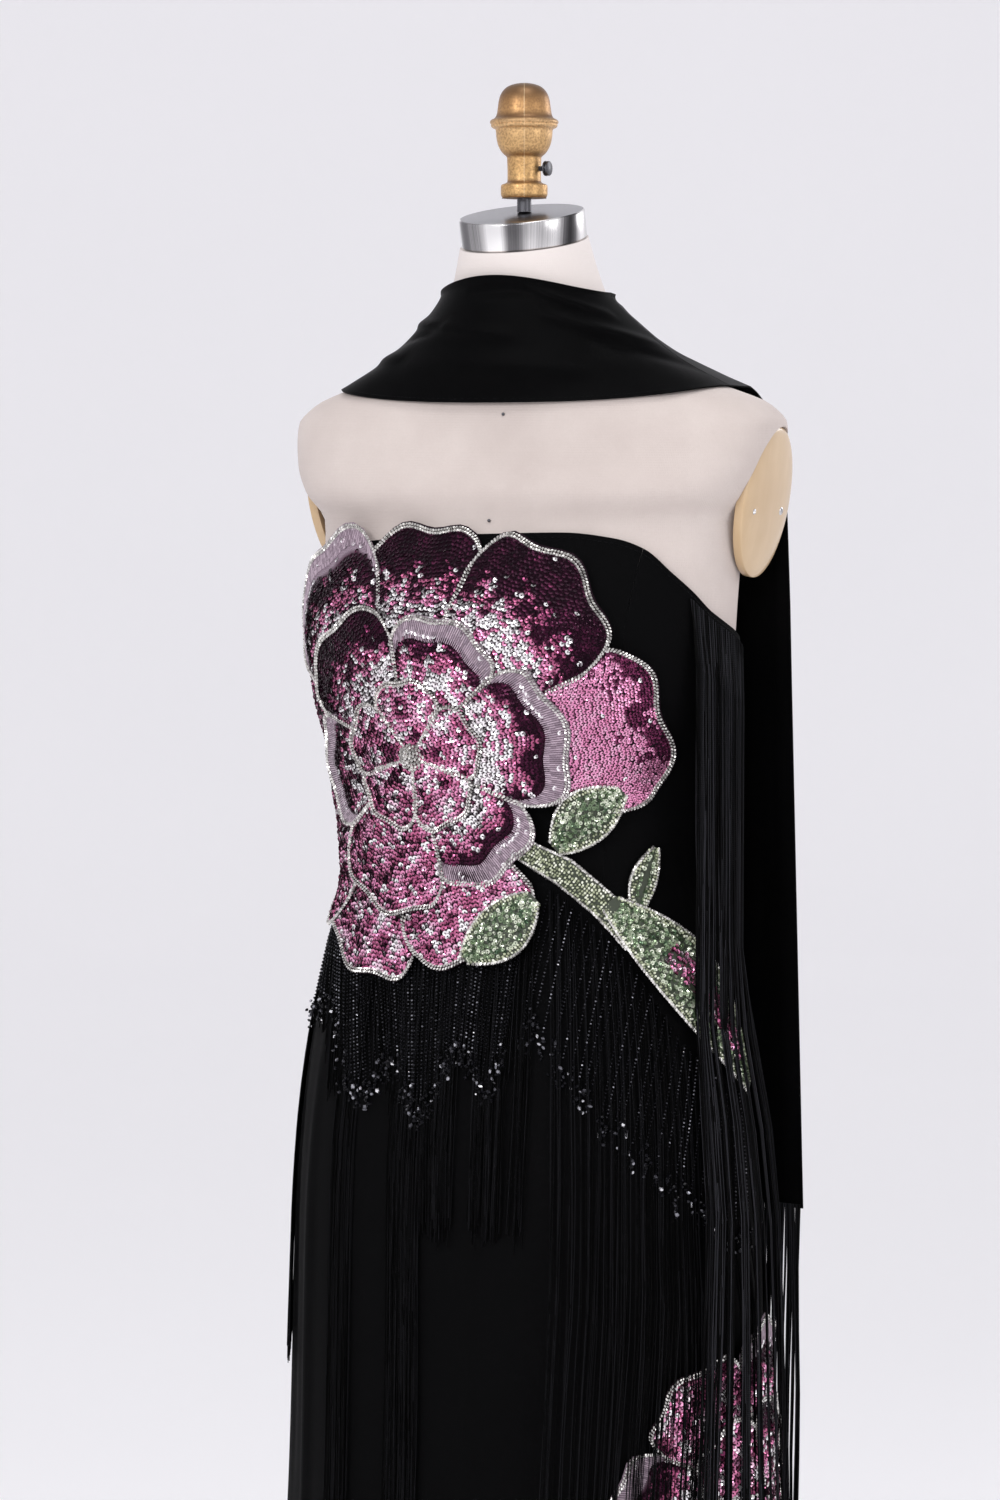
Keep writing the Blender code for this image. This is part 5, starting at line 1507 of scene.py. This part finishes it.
def makeArmPlates():
    t, dome = armPlate["thickness"], armPlate["dome"]
    rise = [(math.cos(a), t + dome * math.sin(a)) for a in np.linspace(0.10, 1.5, 14)]
    profile = [(0.994, 0.0003), (1.0, 0.0009), (1.0, t - 0.0008), (0.998, t)] + rise
    for name, side in (("Left", 1), ("Right", -1)):
        plate = placed(smoothed(ovalShape("armPlate" + name, profile), 40), armMatrix(side))
        dressed(plate, glossyWood, ["arm_plate_" + name.lower()])
        for number, (drop, back, radius) in enumerate(((0.006, 0.019, 0.0030), (0.006, -0.027, 0.0021))):
            share = math.hypot(drop / armPlate["height"], back / armPlate["depth"])
            height = t + dome * math.sqrt(max(1 - share**2, 0)) - 0.0002
            button = [(0, 0.0012), (radius * 0.5, 0.00115), (radius * 0.85, 0.0008), (radius, 0.0003),
                      (radius, -0.0008), (0, -0.0008)]
            head = turned(f"armScrew{name}{number + 1}", button, 28, 40)
            cutBy(head, slotCutter())
            placed(head, armMatrix(side) @ Matrix.Translation((side * drop, back, height))
                   @ Matrix.Rotation(0.7 + number, 4, "Z"))
            dressed(smoothed(head, 30), brightSteel)


def makePins():
    # round-headed pins in the canvas, each standing square to the form
    head = rounded([(0, 0.0013), (0.0009, 0.0010), (0.0012, 0.0003), (0.0009, -0.0004), (0, -0.0008)])
    for number, (x, height) in enumerate(fittings["pins"]):
        halfWidth, *_, squareness = rowsAt(formSections, height)
        degrees = math.degrees(math.asin((x / halfWidth) ** (squareness / 2)))
        at, way = formPoints(np.array(degrees), np.array(height), 0.0006)
        upright = Vector(way).to_track_quat("Z", "Y").to_matrix().to_4x4()
        pin = placed(turned(f"pin{number + 1}", head, 20, 60), Matrix.Translation(Vector(at)) @ upright)
        dressed(pin, darkSteel)


def makeStand():
    low, high = 0.0503, form["bottom"] - 0.0093
    top, r = form["bottom"] - 0.0004, 0.0450
    base = [(0, 0.0500), (0.0192, 0.0500), (0.0205, 0.0494), (0.0236, 0.0444), (0.0246, 0.0420),
            (0.0262, 0.0250), (0.0280, 0.0230), (0.0600, 0.0162), (0.1000, 0.0136), (0.1400, 0.0110),
            (0.1470, 0.0098), (0.1500, 0.0072), (0.1500, 0.0006), (0.1494, 0.0), (0, 0)]
    tube = [(0, high), (0.0157, high), (0.0160, high - 0.0005), (0.0160, 0.412), (0.0166, 0.4118),
            (0.0166, 0.408), (0.0160, 0.4078), (0.0160, low + 0.0005), (0.0157, low), (0, low)]
    flange = [(0, top), (r - 0.001, top), (r, top - 0.001), (r, top - 0.0070), (r - 0.0012, top - 0.0086),
              (0, top - 0.0086)]
    for name, profile, sides in (("Base", base, 96), ("Tube", tube, 48), ("Flange", flange, 64)):
        dressed(turned("stand" + name, profile, sides, 40), paintedSteel,
                ["stand_" + name.lower()])


# The closing down the centre back, and the rows of stitches
closing = dict(low=0.93, high=1.206, pull=(0, 0.0026, 1.2135), tab=0.0054, tabHeight=1.2150, halfStrip=0.0032,
               toothGap=0.0021, toothShift=0.0003, stitchGap=0.0042, stitchLift=0.0003,
               hemRows=(0.020, 0.024), edgeInset=0.0035)


def makeSlider(back):
    # a bevelled block that narrows downwards
    x, y, z = closing["pull"]
    body = bmesh.new()
    bmesh.ops.create_cube(body, size=1)
    for vert in body.verts:
        narrow = 0.72 if vert.co.z < 0 else 1
        vert.co = Vector((vert.co.x * 0.0060 * narrow, vert.co.y * 0.0034, vert.co.z * 0.0100))
    bmesh.ops.bevel(body, geom=body.edges[:], offset=0.0009, segments=3, affect="EDGES")
    mesh = bpy.data.meshes.new("zipSlider")
    body.to_mesh(mesh)
    slider = placed(newObject("zipSlider", mesh), Matrix.Translation((x, back + y, z)))
    dressed(smoothed(slider, 50), darkSteel, ["zip_slider"])


def makeZipTab(back):
    # a thin drop-shaped plate with an eye, its edges bevelled
    outline = [(0.0016, 0.0006), (0.0017, -0.0030), (0.0021, -0.0080), (0.0028, -0.0130), (0.0034, -0.0180),
               (0.0028, -0.0204), (0.0014, -0.0215)]
    outline = [(-px, pz) for px, pz in outline] + outline[::-1]
    plate = bmesh.new()
    plate.faces.new([plate.verts.new((px, 0, pz)) for px, pz in outline])
    mesh = bpy.data.meshes.new("zipTab")
    plate.to_mesh(mesh)
    tab = newObject("zipTab", mesh)
    thick = tab.modifiers.new("thick", "SOLIDIFY")
    thick.thickness, thick.offset = 0.0010, 0
    eye = placed(turned("eye", [(0, 0.004), (0.0011, 0.004), (0.0011, -0.004), (0, -0.004)], 24),
                 Matrix.Translation((0, 0, -0.0172)) @ Matrix.Rotation(math.pi / 2, 4, "X"))
    cut = tab.modifiers.new("eye", "BOOLEAN")
    cut.operation, cut.object = "DIFFERENCE", eye
    edge = tab.modifiers.new("edge", "BEVEL")
    edge.width, edge.segments, edge.limit_method = 0.0002, 2, "ANGLE"
    applied(tab)
    bpy.data.objects.remove(eye)
    placed(tab, Matrix.Translation((0, back + closing["tab"], closing["tabHeight"])))
    dressed(smoothed(tab, 30), darkSteel, ["zip_tab"], "zip_tab")


def makeClosing():
    heights = np.linspace(closing["low"], closing["high"], 70)[:, None]
    shift = np.linspace(1, -1, 13)[None, :]
    degrees = 180 - np.degrees(shift * closing["halfStrip"] / 0.1)
    lips = 0.0008 * np.exp(-((np.abs(shift) - 0.45) / 0.25) ** 2) - 0.0004 * np.exp(-(shift / 0.12) ** 2)
    grid = gownPoints(degrees, heights + 0 * shift, 0.0011 + lips)[0]
    clothPiece("zipPlacket", grid, 0.0009, crepe, "zip_placket")
    stations = np.arange(closing["low"] + 0.004, closing["high"], closing["toothGap"])
    points = gownPoints(180.0 + 0 * stations, stations, 0.0021)[0]
    points[:, 0] += closing["toothShift"] * (-1.0) ** np.arange(len(points))
    facing = unit(points * [0, 1, 0])
    setOnPoints("zipTeeth", [onePoint(points, facing, facing[:, [1, 0, 2]])], toothShape, darkSteel,
                size=1.0, change=0.0, lean=0.0, seed=31)
    back = float(gownPoints(180.0, 1.213)[0][1])
    makeSlider(back)
    makeZipTab(back)


def stitchRow(points, ways):
    along = unit(np.gradient(points, axis=0))
    return onePoint(points, ways, along)


def makeStitches():
    rows = []
    gap, lift = closing["stitchGap"], closing["stitchLift"]
    degrees = np.linspace(-179.6, 179.6, int(1.24 / gap))
    for height in [cloth["hem"] + rise for rise in closing["hemRows"]]:
        out = lift + creaseOut(degrees, height + 0 * degrees)
        rows.append(stitchRow(*gownPoints(degrees, height, out)))
    degrees = np.linspace(-179.4, 179.4, int(0.90 / gap))
    rows.append(stitchRow(*gownPoints(degrees, edgeHeight(degrees) - closing["edgeInset"], lift)))
    for side in (-1, 1):
        heights = np.linspace(closing["low"], closing["high"], int(0.276 / gap))
        rows.append(stitchRow(*gownPoints(180.0 + side * 3.6 + 0 * heights, heights, lift)))
    degrees = np.linspace(-89, 89, int(0.52 / gap))
    points = scarfPoints(degrees, 0.030 + 0 * degrees)
    facing = sectionPoints(formSections, degrees, 1.43 + 0 * degrees)[1]
    scarfRow = onePoint(points + facing * 0.0013, facing, unit(np.gradient(points, axis=0)))
    for name, cloud, seed in (("gownStitches", rows, 33), ("scarfStitches", [scarfRow], 34)):
        setOnPoints(name, cloud, stitchShape, thread, size=1.0, change=0.1, lean=0.05, seed=seed)


def makeGoldPaint():
    # antique gold paint: darker bronze in the grooves and where the dome meets the rim, partly patina and
    # partly painted shade; painted shade darkening the dome towards its top; a speckled cast skin
    f = Finish("gold_paint", Specular_IOR_Level=0.5)
    place = f.coords()
    x, y, z = f.xyz(place)
    height = (z - fittings["capBottom"]) / 0.0828
    shade = f.ramp(height, (0.0, (0.30, 0.15, 0.045)), (0.03, (0.62, 0.38, 0.15)),
                   (0.11, (0.60, 0.36, 0.14)), (0.14, (0.16, 0.070, 0.02)), (0.17, (0.62, 0.38, 0.15)),
                   (0.34, (0.60, 0.36, 0.14)), (0.37, (0.30, 0.15, 0.045)), (0.42, (0.60, 0.37, 0.155)),
                   (0.58, (0.66, 0.42, 0.19)),
                   (0.645, (0.70, 0.45, 0.22)), (0.70, (0.10, 0.04, 0.012)), (0.76, (0.44, 0.24, 0.09)),
                   (0.84, (0.30, 0.155, 0.055)), (0.91, (0.12, 0.055, 0.02)), (1.0, (0.05, 0.024, 0.010)))
    speckle = f.noise(place, 620, 3.0)
    worn = f.noise(place, 70, 3.0)
    tone = f.mixed(((speckle - 0.4) * 4).clamped() * 0.55, shade, (0.13, 0.055, 0.018))
    tone = f.mixed(worn * 0.22, tone, (0.80, 0.52, 0.27))
    turn = math.radians(fittings["seamTurn"])
    across = (x * math.cos(turn) + y * math.sin(turn)).abs()
    seam = 1 - (across * 2600).clamped()
    tone = f.mixed(seam * 0.55, tone, (0.86, 0.66, 0.42))
    return f.surface(Base_Color=tone, Metallic=worn * 0.25 + 0.52, Roughness=speckle * 0.22 + 0.30,
                     Normal=f.bump(speckle * 0.5 + seam * 0.6 + worn * 0.3, 0.35, 0.0006))


def makeBrushedChrome():
    # a turned plate: painted reflections as bright and dark bands down its side, the top's fine circles
    f = Finish("brushed_chrome", Metallic=1.0)
    x, y, z = f.xyz(f.coords())
    turn = f.node("ShaderNodeMath", {"operation": "ARCTAN2"}, [y, x])
    reflectionBands = (turn * 7 + 0.6).sin() * 0.5 + (turn * 12.3 + 2).sin() * 0.3 + (turn * 3.1).sin() * 0.2
    fine = f.noise(f.node("ShaderNodeCombineXYZ", {}, [turn * 26, 0.0, z * 3]), 4.0, 2.0)
    tone = f.ramp(reflectionBands * 0.5 + 0.5 + (fine - 0.5) * 0.35, (0.0, (0.035, 0.034, 0.036)),
                  (0.32, (0.18, 0.175, 0.18)), (0.55, (0.58, 0.57, 0.57)), (0.78, (0.99, 0.98, 0.97)))
    level = f.xyz(f.node("ShaderNodeNewGeometry", output="Normal"))[2]
    flat = ((level - 0.9) * 20).clamped()
    tone = f.mixed(flat, tone, (0.34, 0.34, 0.36))
    brushed = f.noise(f.node("ShaderNodeCombineXYZ", {}, [turn * 300, 0.0, 0.0]), 2.0, 1.0)
    return f.surface(Base_Color=tone, Roughness=flat * 0.04 + fine * 0.10 + 0.20,
                     Normal=f.bump(brushed, 0.04, 0.0002))


def makeGlossyWood():
    # pale varnished wood, its grain running down the plate
    f = Finish("glossy_wood", Specular_IOR_Level=0.5, Coat_Weight=0.7, Coat_Roughness=0.12)
    place = f.coords("Object", (1.0, 1.0, 0.16))
    grain = f.noise(place, 130, 4.0, 0.6)
    cloud = f.noise(f.coords(), 26, 2.0)
    rings = (f.xyz(f.coords())[1] * 260 + grain * 9 + cloud * 8).sin() * 0.5 + 0.5
    tone = f.mixed(cloud, (0.50, 0.335, 0.175), (0.66, 0.49, 0.30))
    tone = f.mixed(rings * 0.10, tone, (0.40, 0.25, 0.12))
    return f.surface(Base_Color=tone, Roughness=grain * 0.12 + 0.27, Normal=f.bump(grain, 0.05, 0.0003))


def makeSteel(name, shade, rough, metal=1.0, scale=420):
    f = Finish(name)
    place = f.coords()
    wear = f.noise(place, scale, 3.0)
    cloud = f.noise(place, 40, 2.0)
    tone = f.mixed(cloud, [c * 0.75 for c in shade], [c * 1.25 for c in shade])
    return f.surface(Base_Color=tone, Metallic=wear * 0.1 + metal - 0.1, Roughness=wear * 0.14 + rough - 0.05,
                     Normal=f.bump(wear, 0.06, 0.0003))


print("patterns and finishes of sequins and beads")
patterns = []
pointsTree = setOnPointsTree()
sequinShape = ringShape("sequinShape", [(1.0, 0.13), (0.30, 0.0)], 9)
rise = sequinShape.data.attributes.new("rise", "FLOAT", "POINT")
rise.data.foreach_set("value", [v.co.y for v in sequinShape.data.vertices])
beadShape = ringShape("beadShape", [(0.55, -0.62), (1.0, 0.0), (0.55, 0.62)], 5, smooth=True, across=True)
ropeShape = ringShape("ropeShape", [(0.45, -0.95), (0.98, 0.0), (0.45, 0.95)], 5, across=True)
bugleShape = ringShape("bugleShape", [(0.115, -0.5), (0.115, 0.5)], 5, across=True)
facetShape = ringShape("facetShape", [(0.45, -0.62), (1.0, -0.18), (1.0, 0.18), (0.45, 0.62)], 5, across=True)
toothShape = ringShape("toothShape", [(0.0005, -0.0011), (0.0007, -0.0008), (0.0007, 0.0008),
                                      (0.0005, 0.0011)], 4, across=True)
stitchShape = ringShape("stitchShape", [(0.0001, -0.0014), (0.00028, 0.0), (0.0001, 0.0014)], 4, across=True)
sequinFinish, silverBeads, blackBeads = makeSequinFinish(), makeSilverBeads(), makeBlackBeads()
goldPaint, brushedChrome, glossyWood = makeGoldPaint(), makeBrushedChrome(), makeGlossyWood()
darkSteel = makeSteel("dark_steel", (0.10, 0.10, 0.11), 0.36)
brightSteel = makeSteel("bright_steel", (0.62, 0.62, 0.63), 0.24)
paintedSteel = makeSteel("painted_steel", (0.030, 0.030, 0.034), 0.42, 0.35, 300)
petalNet, netRib = makePetalNet(), makeNetRib()
greenNet = makeGreenFinish("green_net", (0.03, 0.04, 0.022), (0.06, 0.075, 0.04), (0.10, 0.12, 0.07), 0.6)
paleGreen = makeGreenFinish("pale_green_bead", (0.10, 0.12, 0.065), (0.50, 0.54, 0.36), (0.95, 0.97, 0.84),
                            0.18)
darkGreen = makeGreenFinish("green_sequin", (0.020, 0.060, 0.024), (0.22, 0.30, 0.17), (0.86, 0.90, 0.74),
                            0.16, 0.5)

bpy.context.scene.view_settings.view_transform = "Standard"
for stage, makers in (
        ("studio", [makeStudio]), ("form", [makeForm]), ("gown", [makeGown]),
        ("bloom", [makeBloom, makeSkirtBloom]), ("stem and leaves", [makeSprig]), ("fringes", [makeFringes]),
        ("scarf", [makeScarf]), ("fittings", [makeCap, makeThumbScrew, makeArmPlates, makePins, makeStand]),
        ("closing and stitches", [makeClosing, makeStitches])):
    print(stage)
    for maker in makers:
        maker()

for pattern in patterns:
    bpy.data.objects.remove(pattern)
